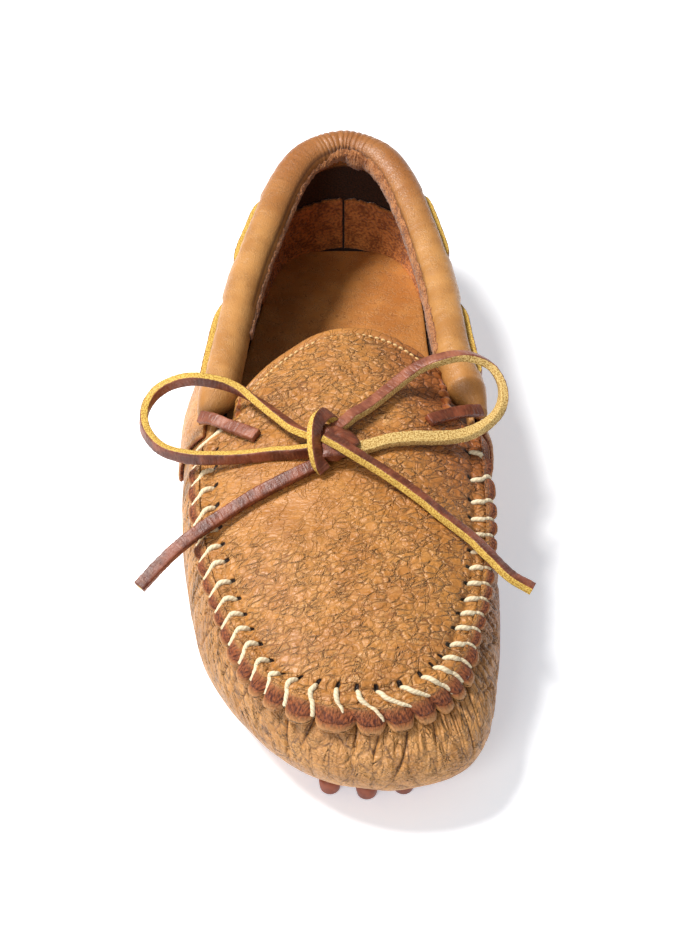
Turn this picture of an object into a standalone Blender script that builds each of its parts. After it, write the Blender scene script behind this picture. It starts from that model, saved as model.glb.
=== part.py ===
"""Driving moccasin, right shoe: leather upper, plug, quarter, collar, rubber outsole, insole and rawhide lace.

Metres, +Z up. The toe points to -Y, the inner (big toe) side is +X and z = 0 is the ground.
"""
import bpy
import bmesh
import numpy as np
from mathutils import Vector

# Sizes of the shoe
LENGTH = 0.284
BALL_WIDTH = 0.106
HEEL_HEIGHT = 0.066
LEATHER = 0.0020
QUARTER_LEATHER = 0.0017
RIDGE = 0.0052
RIDGE_LEAN = 46.0
COLLAR_WIDTH = 0.0130
COLLAR_DEPTH = 0.0140
TONGUE_REACH = 0.068
TONGUE_ARCH = 0.150
PLUG_CROWN = 0.105
PLUG_VALLEY = 0.0010
PLUG_LIFT = 0.0056
PLUG_BESIDE = 0.0014
INSOLE_PAD = 0.0032
INSOLE_INSET = 0.0012
INSOLE_BACK = 0.0112
FLOOR_SAG = 0.0004
SOLE_PLATE = 0.0016
SOLE_EDGE = 0.0022
POD_DIAMETER = 0.0066
POD_PITCH = 0.0116
POD_ROUND = 0.0012
POD_FRONT = -0.4490
POD_WAIST = -0.1500
POD_HEEL = 0.2850
POD_MIDDLE = 0.192
POD_TURN = 0.0020
POD_MARGIN = 0.0046
LACE_WIDTH = 0.0042
LACE_THICK = 0.0024
LACE_TUBE = 0.0036
LACE_PROUD = 0.0009
LACE_LOW = 0.0006

# Clearances of the fits
SEAM_GAP = 0.0003
OVERLAY_GAP = 0.0004
COLLAR_GAP = 0.0003
SOLE_GAP = 0.0003
INSOLE_GAP = 0.0004
LACE_GAP = 0.0003

# Round the shoe from the heel along the inner side to the toe and back along the outer side.
# along and side place the widest line, seam_along and seam_side the top edge of the wall.
# The along columns are shares of LENGTH, the side columns of half BALL_WIDTH, foot_in of
# BALL_WIDTH, and foot_up, girth_up and top_up of HEEL_HEIGHT.
COLUMNS = ("along", "side", "foot_in", "foot_up", "girth_up", "seam_along", "seam_side", "top_up")
ROWS = {
    "heel back": (0.000, 0.05, 0.090, 0.085, 0.36, 0.017, 0.050, 0.785),
    "heel inner back": (0.016, 0.345, 0.090, 0.085, 0.36, 0.036, 0.289, 0.775),
    "heel inner corner": (0.055, 0.590, 0.090, 0.085, 0.36, 0.073, 0.434, 0.750),
    "heel inner side": (0.135, 0.735, 0.095, 0.090, 0.35, 0.141, 0.568, 0.705),
    "waist inner": (0.270, 0.815, 0.110, 0.105, 0.34, 0.272, 0.720, 0.655),
    "mid inner": (0.410, 0.940, 0.120, 0.110, 0.33, 0.413, 0.809, 0.650),
    "ear inner": (0.500, 0.985, 0.130, 0.100, 0.33, 0.501, 0.893, 0.635),
    "instep inner": (0.580, 1.00, 0.130, 0.090, 0.32, 0.581, 0.898, 0.640),
    "ball inner": (0.680, 1.025, 0.130, 0.085, 0.32, 0.680, 0.902, 0.605),
    "joint inner": (0.780, 1.020, 0.130, 0.085, 0.32, 0.777, 0.849, 0.575),
    "great toe side": (0.870, 0.965, 0.135, 0.090, 0.32, 0.847, 0.753, 0.560),
    "great toe corner": (0.938, 0.890, 0.140, 0.100, 0.32, 0.879, 0.685, 0.555),
    "toe inner front": (0.980, 0.725, 0.145, 0.115, 0.33, 0.913, 0.558, 0.555),
    "toe tip": (1.000, 0.330, 0.150, 0.120, 0.33, 0.934, 0.325, 0.555),
    "toe outer front": (0.986, -0.070, 0.150, 0.115, 0.33, 0.934, 0.045, 0.555),
    "toe outer corner": (0.948, -0.380, 0.145, 0.100, 0.32, 0.916, -0.217, 0.555),
    "little toe": (0.888, -0.630, 0.140, 0.090, 0.32, 0.873, -0.458, 0.560),
    "joint outer": (0.810, -0.820, 0.135, 0.085, 0.32, 0.800, -0.638, 0.570),
    "ball outer": (0.720, -0.920, 0.130, 0.085, 0.32, 0.716, -0.762, 0.595),
    "instep outer": (0.630, -0.980, 0.130, 0.085, 0.32, 0.628, -0.819, 0.625),
    "ear outer": (0.540, -1.000, 0.130, 0.085, 0.33, 0.539, -0.808, 0.632),
    "mid outer": (0.430, -0.980, 0.120, 0.090, 0.33, 0.436, -0.755, 0.640),
    "waist outer": (0.270, -0.800, 0.110, 0.090, 0.34, 0.276, -0.643, 0.655),
    "heel outer side": (0.135, -0.645, 0.095, 0.085, 0.35, 0.143, -0.470, 0.705),
    "heel outer corner": (0.055, -0.495, 0.090, 0.085, 0.36, 0.073, -0.340, 0.750),
    "heel outer back": (0.016, -0.245, 0.090, 0.085, 0.36, 0.036, -0.189, 0.775),
}
NAMES = list(ROWS)
SCALES = {
    "along": LENGTH,
    "side": BALL_WIDTH / 2,
    "foot_in": BALL_WIDTH,
    "foot_up": HEEL_HEIGHT,
    "girth_up": HEEL_HEIGHT,
    "seam_along": LENGTH,
    "seam_side": BALL_WIDTH / 2,
    "top_up": HEEL_HEIGHT,
}
TOE = NAMES.index("toe tip")
EAR_INNER = NAMES.index("ear inner")
EAR_OUTER = NAMES.index("ear outer")
SHOULDER = np.radians(62)

# Where the plug and the collar end, counted in rows of the table
TONGUE_INNER = 5.35
TONGUE_OUTER = 20.45
COLLAR_INNER = 6.05
COLLAR_OUTER = 20.25
RIDGE_INNER = 6.75
RIDGE_OUTER = 19.60
RIDGE_FADE = 0.45
TOE_CORNER = 8 / 3
SIDE_CORNER = 20 / 3

# Edges of the quarter, as heights of the wall: 0 the floor, 1 the girth, 2 the top
QUARTER_LOW = 0.42
QUARTER_SWEEP = 0.50
QUARTER_TOP = 1.895

# Where the lace shows on the outside of the collar, counted in rows
LACE_PASSES = {
    "lace_inner_rear": (2.80, 3.66),
    "lace_inner_front": (4.42, 5.36),
    "lace_outer_front": (20.84, 21.64),
    "lace_outer_rear": (22.28, 23.08),
}

# Lace bars from the ends of the collar into the plug. Each stop is a share of half BALL_WIDTH to the
# inner side, of LENGTH towards the heel and of HEEL_HEIGHT up, then the way its grain face looks.
LACE_BARS = {
    "lace_bar_outer": (
        ((-0.8642, -0.0254, 0.7576), (-0.58, -0.15, 0.80)),
        ((-0.7830, -0.0366, 0.7909), (-0.50, -0.18, 0.84)),
        ((-0.6811, -0.0521, 0.8091), (-0.35, -0.20, 0.91)),
        ((-0.5830, -0.0669, 0.8333), (-0.22, -0.22, 0.95)),
        ((-0.4943, -0.0796, 0.8500), (-0.16, -0.22, 0.96)),
    ),
    "lace_bar_inner": (
        ((0.9358, -0.0148, 0.7606), (0.58, -0.15, 0.80)),
        ((0.8604, -0.0239, 0.7970), (0.50, -0.18, 0.84)),
        ((0.7660, -0.0338, 0.8212), (0.36, -0.20, 0.91)),
        ((0.6660, -0.0472, 0.8485), (0.24, -0.22, 0.95)),
        ((0.5943, -0.0577, 0.8652), (0.18, -0.22, 0.96)),
    ),
}

# Middle lines of the free lace, from the knot outwards
LACE_ROUTES = {
    "lace_loop_outer": (
        (-0.0124, -0.0262, 0.0620), (-0.0178, -0.0195, 0.0606), (-0.0270, -0.0092, 0.0600),
        (-0.0345, -0.0045, 0.0615), (-0.0415, -0.0030, 0.0628), (-0.0490, -0.0020, 0.0628),
        (-0.0565, -0.0022, 0.0605), (-0.0618, -0.0050, 0.0578), (-0.0645, -0.0100, 0.0550),
        (-0.0636, -0.0172, 0.0530), (-0.0580, -0.0250, 0.0523), (-0.0490, -0.0294, 0.0528),
        (-0.0385, -0.0312, 0.0540), (-0.0290, -0.0320, 0.0555), (-0.0200, -0.0328, 0.0576),
        (-0.0124, -0.0338, 0.0592),
    ),
    "lace_loop_inner": (
        (0.0032, -0.0232, 0.0628), (0.0060, -0.0198, 0.0628), (0.0110, -0.0148, 0.0622),
        (0.0170, -0.0078, 0.0620), (0.0232, -0.0015, 0.0630), (0.0295, 0.0030, 0.0645),
        (0.0365, 0.0046, 0.0662), (0.0430, 0.0058, 0.0664), (0.0490, 0.0054, 0.0650),
        (0.0536, 0.0036, 0.0626), (0.0564, -0.0010, 0.0600), (0.0567, -0.0066, 0.0577),
        (0.0545, -0.0124, 0.0563), (0.0495, -0.0180, 0.0558), (0.0425, -0.0226, 0.0562),
        (0.0345, -0.0253, 0.0576), (0.0262, -0.0270, 0.0592), (0.0180, -0.0290, 0.0600),
        (0.0110, -0.0318, 0.0600), (0.0050, -0.0336, 0.0602),
    ),
    "lace_end_outer": (
        (-0.0118, -0.0425, 0.0583), (-0.0178, -0.0452, 0.0567), (-0.0270, -0.0494, 0.0540),
        (-0.0355, -0.0542, 0.0512), (-0.0435, -0.0592, 0.0487), (-0.0505, -0.0642, 0.0459),
        (-0.0563, -0.0690, 0.0428), (-0.0627, -0.0756, 0.0395),
    ),
    "lace_end_inner": (
        (0.0034, -0.0378, 0.0652), (0.0112, -0.0416, 0.0622), (0.0195, -0.0462, 0.0592),
        (0.0275, -0.0514, 0.0562), (0.0355, -0.0577, 0.0532), (0.0435, -0.0635, 0.0502),
        (0.0500, -0.0705, 0.0482), (0.0560, -0.0762, 0.0455), (0.0631, -0.0796, 0.0430),
    ),
}
KNOT_AT = (-0.0049, -0.0325, 0.0628)
KNOT_HALF = (0.0052, 0.0108, 0.0046)
KNOT_TILT = 15.0


def clear_scene():
    for item in list(bpy.data.objects):
        bpy.data.objects.remove(item, do_unlink=True)


def smooth_rows(place):
    """Table values, in metres, at a place counted in rows; the table closes on itself."""
    count = len(NAMES)
    table = np.array([ROWS[name] for name in NAMES]) * [SCALES[name] for name in COLUMNS]
    place = np.atleast_1d(np.asarray(place, float)) % count
    row = np.floor(place).astype(int)
    part = (place - row)[:, None]
    before, here, after, later = (table[(row + step) % count] for step in (-1, 0, 1, 2))
    return 0.5 * (
        2 * here
        + (after - before) * part
        + (2 * before - 5 * here + 4 * after - later) * part**2
        + (3 * here - before - 3 * after + later) * part**3
    )


def girth(place):
    """Widest line of the shoe seen from above."""
    values = smooth_rows(place)
    return np.stack([values[:, 1], LENGTH / 2 - values[:, 0]], 1)


def seam(place):
    """Top edge of the wall seen from above."""
    values = smooth_rows(place)
    return np.stack([values[:, 6], LENGTH / 2 - values[:, 5]], 1)


def outward(place, line):
    """Level direction out of the shoe, square to a line; a wide step keeps it even at the corners."""
    step = 0.60
    along = line(np.atleast_1d(place) + step) - line(np.atleast_1d(place) - step)
    along /= np.linalg.norm(along, axis=1)[:, None]
    return np.stack([-along[:, 1], along[:, 0]], 1)


def at(place, line, out, up):
    """Point beside a line: out along the level direction, up from the ground."""
    place = np.atleast_1d(np.asarray(place, float))
    flat = line(place) + outward(place, line) * np.broadcast_to(out, place.shape)[:, None]
    return np.column_stack([flat, np.broadcast_to(up, place.shape)])


def wall(place, height):
    """Outer face of the upper: height 0 is the edge of the floor, 1 the girth, 2 the top."""
    values = smooth_rows(place)
    foot_in, foot_up, girth_up, top_up = (values[:, k] for k in (2, 3, 4, 7))
    low = np.clip(height, 0, 1) * np.pi / 2
    high = np.clip(np.asarray(height, float) - 1, 0, 1) * SHOULDER
    up = girth_up - (girth_up - foot_up) * np.cos(low) + (top_up - girth_up) * np.sin(high) / np.sin(SHOULDER)
    point = at(place, girth, -foot_in * (1 - np.sin(low)), up)
    share = np.broadcast_to((1 - np.cos(high)) / (1 - np.cos(SHOULDER)), len(point))
    point[:, :2] += (seam(place) - girth(place)) * share[:, None]
    return point


def wall_face(place, height, off):
    """A point a given distance off the outer face of the upper."""
    step = 0.02
    place = np.atleast_1d(np.asarray(place, float))
    height = np.broadcast_to(np.asarray(height, float), place.shape)
    low = np.clip(height - step, 0, 2)
    high = np.clip(height + step, 0, 2)
    rise = wall(place, high) - wall(place, low)
    along = wall(place + step, height) - wall(place - step, height)
    face = np.cross(rise, along)
    face /= np.linalg.norm(face, axis=1)[:, None]
    side = np.sum(face[:, :2] * outward(place, girth), axis=1)
    face *= np.where(side < 0, -1.0, 1.0)[:, None]
    return wall(place, height) + face * off


def lip_share(place):
    """1 along the hand sewn ridge, fading to 0 behind the ears."""
    place = np.atleast_1d(np.asarray(place, float))
    rise = np.clip((place - RIDGE_INNER) / RIDGE_FADE + 1, 0, 1)
    fall = np.clip((RIDGE_OUTER - place) / RIDGE_FADE + 1, 0, 1)
    share = np.minimum(rise, fall)
    return share * share * (3 - 2 * share)


def lip(place, across, climb):
    """Beside the top edge: across runs out of the lip, climb up along it."""
    lean = np.radians(RIDGE_LEAN) * lip_share(place)
    values = smooth_rows(place)
    out = across * np.cos(lean) + climb * np.sin(lean)
    up = values[:, 7] - across * np.sin(lean) + climb * np.cos(lean)
    return at(place, seam, out, up)


def stations(first, last, each):
    """Places from first to last, each of them a fraction of a row apart."""
    return np.linspace(first, last, int(round(abs(last - first) * each)) + 1)


def sheet(rows, closed):
    """Mesh from rows of points joined in quads."""
    mesh = bmesh.new()
    grid = [[mesh.verts.new(point) for point in row] for row in rows]
    for one, two in zip(grid, grid[1:]):
        for k in range(len(one) if closed else len(one) - 1):
            after = (k + 1) % len(one)
            mesh.faces.new((one[k], one[after], two[after], two[k]))
    return mesh, grid


def finish(name, mesh, colour, roughness=0.7, closed=True):
    """Object of one smooth mesh in its own material; a closed one gets its faces turned outwards."""
    if closed:
        bmesh.ops.remove_doubles(mesh, verts=mesh.verts, dist=0.000002)
        bmesh.ops.recalc_face_normals(mesh, faces=mesh.faces)
    data = bpy.data.meshes.new(name)
    mesh.to_mesh(data)
    mesh.free()
    for face in data.polygons:
        face.use_smooth = True
    item = bpy.data.objects.new(name, data)
    bpy.context.scene.collection.objects.link(item)
    paint(item, colour, roughness)
    return item


def paint(item, colour, roughness):
    material = bpy.data.materials.new(item.name)
    material.use_nodes = True
    shader = material.node_tree.nodes["Principled BSDF"]
    shader.inputs["Base Color"].default_value = (*colour, 1.0)
    shader.inputs["Roughness"].default_value = roughness
    item.data.materials.append(material)


def thicken(item, thickness, offset):
    solid = item.modifiers.new("Leather", "SOLIDIFY")
    solid.thickness = thickness
    solid.offset = offset
    solid.use_even_offset = True
    solid.use_rim = True


def face_outward(mesh, middle):
    """Turn every face of an open sheet away from a point inside the shoe."""
    bmesh.ops.recalc_face_normals(mesh, faces=mesh.faces)
    mesh.faces.ensure_lookup_table()
    total = sum((face.calc_center_median() - Vector(middle)).dot(face.normal) * face.calc_area() for face in mesh.faces)
    if total < 0:
        bmesh.ops.reverse_faces(mesh, faces=mesh.faces)


def make_upper():
    """One piece of leather: floor, toe wall and sides up to the sewn ridge and into the collar."""
    count = len(NAMES)
    places = np.arange(0, count, 1 / 3)
    heights = np.array([0.0, 0.26, 0.5, 0.75, 1.0, 1.3, 1.65])
    rows = [wall(places, height) for height in heights]
    rows.append(lip(places, 0.0, 0.0))
    rows.append(lip(places, 0.0, np.full(len(places), RIDGE)))
    mesh, grid = sheet(rows, True)
    floor = grid[0]
    total = len(floor)
    spine = [[floor[0]]]
    for k in range(1, total // 2):
        inner, outer = floor[k], floor[total - k]
        line = [inner]
        for share in (0.2, 0.5, 0.8):
            point = inner.co.lerp(outer.co, share)
            point.z -= FLOOR_SAG * (1 - (2 * share - 1) ** 2)
            line.append(mesh.verts.new(point))
        line.append(outer)
        spine.append(line)
    spine.append([floor[total // 2]])
    for one, two in zip(spine, spine[1:]):
        for k in range(4):
            if len(one) == 1:
                mesh.faces.new((one[0], two[k], two[k + 1]))
            elif len(two) == 1:
                mesh.faces.new((one[k], one[k + 1], two[0]))
            else:
                mesh.faces.new((one[k], one[k + 1], two[k + 1], two[k]))
    face_outward(mesh, (0, 0, HEEL_HEIGHT / 2))
    item = finish("upper", mesh, (0.60, 0.33, 0.13), closed=False)
    thicken(item, LEATHER, -1.0)
    return item


def plug_edge(place):
    """Flesh side of the plug where it turns up against the upper, or lies beside the collar."""
    share = lip_share(place)
    beside = COLLAR_WIDTH / 2 + LEATHER / 2 + COLLAR_GAP + PLUG_BESIDE
    across = -(LEATHER + SEAM_GAP) * share - beside * (1 - share)
    climb = PLUG_VALLEY * share + PLUG_LIFT * (1 - share)
    return lip(place, across, climb)


def tongue_edge(share):
    """Top edge of the tongue from the outer corner (0) to the inner corner (1)."""
    outer = plug_edge(TONGUE_OUTER)[0]
    inner = plug_edge(TONGUE_INNER)[0]
    share = np.atleast_1d(np.asarray(share, float))[:, None]
    line = outer + (inner - outer) * share
    bow = 4 * share * (1 - share)
    return line + np.hstack([0 * share, TONGUE_REACH * LENGTH * bow, TONGUE_ARCH * HEEL_HEIGHT * bow**0.75])


def side_place(along, toe, side, tongue):
    """Place on the side of the plug: the first four fifths run along the ridge, the rest along the tongue."""
    front = np.clip(along / 0.8, 0, 1)
    back = np.clip((along - 0.8) / 0.2, 0, 1)
    return toe + (side - toe) * front + (tongue - side) * back


def plug_surface(across, along):
    """Flesh side of the plug; across 0 to 1 from outer to inner side, along 0 at the toe to 1 at the tongue."""
    across = np.atleast_1d(np.asarray(across, float))
    along = np.atleast_1d(np.asarray(along, float))
    outer_toe = TOE + TOE_CORNER
    inner_toe = TOE - TOE_CORNER
    left = plug_edge(side_place(along, outer_toe, TOE + SIDE_CORNER, TONGUE_OUTER))
    right = plug_edge(side_place(along, inner_toe, TOE - SIDE_CORNER, TONGUE_INNER))
    toe = plug_edge(outer_toe + (inner_toe - outer_toe) * across)
    tongue = tongue_edge(across)
    a, b = across[:, None], along[:, None]
    corner = [plug_edge(outer_toe)[0], plug_edge(inner_toe)[0], tongue_edge(0)[0], tongue_edge(1)[0]]
    flat = (1 - a) * left + a * right + (1 - b) * toe + b * tongue
    flat -= (1 - a) * (1 - b) * corner[0] + a * (1 - b) * corner[1] + (1 - a) * b * corner[2] + a * b * corner[3]
    crown = (4 * across * (1 - across)) ** 0.8 * np.sin(np.pi * np.clip(along, 0, 1) ** 0.85) ** 0.8
    flat[:, 2] += PLUG_CROWN * HEEL_HEIGHT * crown
    return flat


def make_plug():
    """Top piece of the toe and instep with its tongue; the front edge turns up to be sewn."""
    grid_along = 15
    grid_across = 16
    share = np.linspace(0, 1, grid_across + 1)
    mesh = bmesh.new()
    rows = []
    for step in np.linspace(0, 1, grid_along + 1):
        points = plug_surface(share, np.full(len(share), step))
        rows.append([mesh.verts.new(point) for point in points])
    for one, two in zip(rows, rows[1:]):
        for k in range(grid_across):
            mesh.faces.new((one[k], one[k + 1], two[k + 1], two[k]))
    outer_toe = TOE + TOE_CORNER
    inner_toe = TOE - TOE_CORNER
    around = []
    for k in range(grid_along, 0, -1):
        around.append((side_place(k / grid_along, outer_toe, TOE + SIDE_CORNER, TONGUE_OUTER), rows[k][0]))
    for k in range(grid_across + 1):
        around.append((outer_toe + (inner_toe - outer_toe) * k / grid_across, rows[0][k]))
    for k in range(1, grid_along + 1):
        around.append((side_place(k / grid_along, inner_toe, TOE - SIDE_CORNER, TONGUE_INNER), rows[k][-1]))
    around = [pair for pair in around if lip_share(pair[0])[0] > 0.5]
    below = None
    for place, base in around:
        top = mesh.verts.new(lip(place, -(LEATHER + SEAM_GAP), RIDGE * lip_share(place))[0])
        if below is not None:
            mesh.faces.new((below[0], base, top, below[1]))
        below = (base, top)
    face_outward(mesh, (0, 0, -HEEL_HEIGHT))
    item = finish("plug", mesh, (0.62, 0.35, 0.14), closed=False)
    thicken(item, LEATHER, 1.0)
    return item


def make_quarter():
    """Outer leather of the heel half, over the upper and open towards the toe."""
    count = len(NAMES)
    places = np.append(EAR_OUTER + 0.12, stations(EAR_OUTER + 1 / 3, count + EAR_INNER + 1 / 3, 3))
    front = np.minimum(places - places[0], places[-1] - places)
    low = QUARTER_LOW + QUARTER_SWEEP * np.exp(-((front / 1.3) ** 2))
    rows = []
    for share in np.linspace(0, 1, 7):
        height = low + (QUARTER_TOP - low) * share
        rows.append(wall_face(places, height, OVERLAY_GAP))
    mesh = sheet(rows, False)[0]
    face_outward(mesh, (0, LENGTH * 0.2, HEEL_HEIGHT / 2))
    item = finish("quarter", mesh, (0.60, 0.33, 0.13), closed=False)
    thicken(item, QUARTER_LEATHER, 1.0)
    return item


# Section of the padded collar: across and up, shares of half its width and depth, outer side first
COLLAR_SECTION = (
    (0.62, -0.92), (0.90, -0.55), (1.00, -0.05), (0.90, 0.45), (0.62, 0.82), (0.18, 1.00),
    (-0.30, 0.98), (-0.72, 0.76), (-0.98, 0.34), (-1.04, -0.15), (-0.92, -0.62), (-0.66, -0.95),
)


def pass_share(place):
    """1 where the lace lies in the outside of the collar, 0 elsewhere."""
    count = len(NAMES)
    for first, last in LACE_PASSES.values():
        if first - 0.05 <= place % count <= last + 0.05:
            return 1.0
    return 0.0


def collar_ring(place, squeeze):
    """Outline of the collar at one place, with the slot that takes the top of the upper."""
    width = COLLAR_WIDTH / 2 * squeeze
    depth = COLLAR_DEPTH / 2 * squeeze
    middle = COLLAR_DEPTH / 2 * 0.97 + 0.0002
    shift = -LEATHER / 2
    top = RIDGE + COLLAR_GAP
    channel = (LACE_THICK + 2 * LACE_GAP - LACE_PROUD) * pass_share(place)
    foot = middle - depth * 0.97
    points = [(COLLAR_GAP, foot)]
    for across, up in COLLAR_SECTION:
        outer = shift + across * width
        if across > 0.5:
            outer = min(outer, shift + width - channel)
        points.append((outer, middle + up * depth))
    points.append((-LEATHER - COLLAR_GAP, foot))
    points.append((-LEATHER - COLLAR_GAP, top))
    points.append((COLLAR_GAP, top))
    values = smooth_rows(place)[0]
    out = np.array([p[0] for p in points])
    up = np.array([p[1] for p in points]) + values[7]
    return at(np.full(len(points), place), seam, out, up)


def collar_places():
    """Places of the collar's sections, with four at the ends of each lace channel."""
    count = len(NAMES)
    places = list(stations(COLLAR_OUTER, count + COLLAR_INNER, 3.5))
    edges = []
    for first, last in LACE_PASSES.values():
        turn = 0 if first > COLLAR_INNER else count
        edges += [first + turn - 0.15, first + turn - 0.04, last + turn + 0.04, last + turn + 0.15]
    kept = [place for place in places if min(abs(place - edge) for edge in edges) > 0.08]
    return sorted(kept + edges)


def make_collar():
    """Padded roll round the opening, slotted over the top edge of the upper."""
    places = collar_places()
    rings = []
    for k, place in enumerate(places):
        nearest = min(k, len(places) - 1 - k)
        squeeze = (0.80, 0.93, 1.0)[min(nearest, 2)]
        rings.append(collar_ring(place, squeeze))
    mesh, grid = sheet(rings, True)
    for ring in (grid[0], grid[-1]):
        mesh.faces.new(ring)
    return finish("collar", mesh, (0.66, 0.38, 0.16))


def floor_edge(place, inset):
    """Edge of the flat under the foot, moved in by a distance."""
    values = smooth_rows(place)
    return at(place, girth, -values[:, 2] - inset, values[:, 3])


def flat_faces(mesh, ring):
    """Close a ring of vertices that mirrors about its first one with strips across the shoe."""
    total = len(ring)
    for k in range(total // 2):
        quad = [ring[k], ring[k + 1], ring[(total - k - 1) % total], ring[(total - k) % total]]
        quad = [vertex for n, vertex in enumerate(quad) if vertex not in quad[:n]]
        if len(quad) > 2:
            mesh.faces.new(quad)


def make_insole():
    """Padded sock on the floor of the upper, cut straight at the heel."""
    places = np.arange(0, len(NAMES), 1 / 2)
    ring = floor_edge(places, INSOLE_INSET)
    back = LENGTH / 2 - INSOLE_BACK
    flat = ring.copy()
    flat[:, 1] = np.minimum(flat[:, 1], back)
    base = flat.copy()
    base[:, 2] = ring[:, 2] + LEATHER + INSOLE_GAP
    mesh = bmesh.new()
    bottom = [mesh.verts.new(point) for point in base]
    top = [mesh.verts.new((point[0], point[1], point[2] + INSOLE_PAD)) for point in base]
    total = len(bottom)
    for k in range(total):
        after = (k + 1) % total
        mesh.faces.new((bottom[k], bottom[after], top[after], top[k]))
    flat_faces(mesh, bottom)
    flat_faces(mesh, top)
    return finish("insole", mesh, (0.45, 0.20, 0.06))


def make_outsole():
    """Rubber plate under the foot with studs under the forefoot and the heel."""
    places = np.arange(0, len(NAMES), 1 / 2)
    ring = floor_edge(places, -SOLE_EDGE)
    mesh = bmesh.new()
    drop = SOLE_GAP + FLOOR_SAG
    top = [mesh.verts.new((p[0], p[1], p[2] - drop)) for p in ring]
    bottom = [mesh.verts.new((p[0], p[1], p[2] - drop - SOLE_PLATE)) for p in ring]
    total = len(top)
    for k in range(total):
        after = (k + 1) % total
        mesh.faces.new((bottom[k], bottom[after], top[after], top[k]))
    flat_faces(mesh, bottom)
    flat_faces(mesh, top)
    plate = finish("outsole", mesh, (0.24, 0.06, 0.03), 0.55)
    studs = bmesh.new()
    for x, y, roof in pod_places():
        add_pod(studs, x, y, roof - drop - SOLE_PLATE * 0.5)
    cutter = finish("studs", studs, (0.24, 0.06, 0.03), 0.55)
    join = plate.modifiers.new("Studs", "BOOLEAN")
    join.operation = "UNION"
    join.solver = "EXACT"
    join.object = cutter
    cutter.hide_render = True
    cutter.display_type = "WIRE"
    return plate


def pod_places():
    """Studs in staggered rows inside the plate, with a bare waist between forefoot and heel."""
    ring = floor_edge(np.arange(0, len(NAMES), 1 / 4), 0.0)
    found = []
    for step in (-1, 0, 1):
        y = POD_FRONT * LENGTH + abs(step) * POD_TURN
        found.append((POD_MIDDLE * BALL_WIDTH / 2 + step * POD_PITCH, y, roof_at(ring, y)))
    forefoot = np.arange(POD_FRONT * LENGTH + POD_PITCH, POD_WAIST * LENGTH, POD_PITCH)
    heel = np.arange(POD_HEEL * LENGTH, ring[:, 1].max() - POD_MARGIN, POD_PITCH)
    lines = [(y, (k + 1) % 2) for k, y in enumerate(forefoot)] + [(y, k % 2) for k, y in enumerate(heel)]
    for y, odd in lines:
        left, right = sides_at(ring, y)
        reach = int((right - left) / POD_PITCH)
        for step in range(-reach, reach + 1):
            x = (left + right) / 2 + (step + 0.5 * odd) * POD_PITCH
            if left + POD_MARGIN < x < right - POD_MARGIN:
                found.append((x, y, roof_at(ring, y)))
    return found


def sides_at(ring, y):
    """Where the plate begins and ends across the shoe at one place along it."""
    one, two = ring, np.roll(ring, -1, axis=0)
    cross = (one[:, 1] > y) != (two[:, 1] > y)
    share = (y - one[cross, 1]) / (two[cross, 1] - one[cross, 1])
    at_x = one[cross, 0] + share * (two[cross, 0] - one[cross, 0])
    return at_x.min(), at_x.max()


def roof_at(ring, y):
    """Height of the floor edge at the nearest place along the shoe."""
    near = np.argsort(np.abs(ring[:, 1] - y))[:4]
    return float(np.mean(ring[near, 2]))


def add_pod(mesh, x, y, roof):
    sides = 8
    profile = ((POD_DIAMETER / 2 * 1.08, roof), (POD_DIAMETER / 2, POD_ROUND), (POD_DIAMETER / 2 * 0.72, 0.0))
    rings = []
    for radius, z in profile:
        ring = []
        for k in range(sides):
            turn = 2 * np.pi * k / sides
            ring.append(mesh.verts.new((x + radius * np.cos(turn), y + radius * np.sin(turn), z)))
        rings.append(ring)
    for one, two in zip(rings, rings[1:]):
        for k in range(sides):
            after = (k + 1) % sides
            mesh.faces.new((one[k], one[after], two[after], two[k]))
    mesh.faces.new(rings[0])
    mesh.faces.new(rings[-1])


def ribbon(name, line, faces):
    """Flat lace with softened edges along a line; faces say where its grain side looks."""
    half, thick, soft = LACE_WIDTH / 2, LACE_THICK / 2, LACE_THICK * 0.22
    outline = (
        (-half + soft, -thick), (half - soft, -thick), (half, -thick + soft), (half, thick - soft),
        (half - soft, thick), (-half + soft, thick), (-half, thick - soft), (-half, -thick + soft),
    )
    line = np.array(line, float)
    rings = []
    for k in range(len(line)):
        way = line[min(k + 1, len(line) - 1)] - line[max(k - 1, 0)]
        way /= np.linalg.norm(way)
        side = np.cross(faces[k], way)
        side /= np.linalg.norm(side)
        face = np.cross(way, side)
        rings.append([line[k] + side * across + face * up for across, up in outline])
    mesh, grid = sheet(rings, True)
    for ring in (grid[0], grid[-1]):
        mesh.faces.new(ring)
    return finish(name, mesh, (0.30, 0.11, 0.06), 0.6)


def make_lace_passes():
    """Short runs of lace that lie on the outside of the collar."""
    for name, (first, last) in LACE_PASSES.items():
        places = np.linspace(first, last, 5)
        out = np.full(5, COLLAR_WIDTH / 2 - LEATHER / 2 + LACE_PROUD - LACE_THICK / 2)
        up = np.full(5, COLLAR_DEPTH / 2 - LACE_LOW)
        values = smooth_rows(places)
        line = at(places, seam, out, up + values[:, 7])
        faces = np.column_stack([outward(places, seam), np.full(5, 0.05)])
        ribbon(name, line, faces)


def make_lace_bars():
    sizes = np.array([BALL_WIDTH / 2, LENGTH, HEEL_HEIGHT])
    for name, stops in LACE_BARS.items():
        line = soft_line([stop[0] * sizes for stop in stops], 9)
        faces = soft_line([stop[1] for stop in stops], 9)
        ribbon(name, line, faces)


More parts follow.
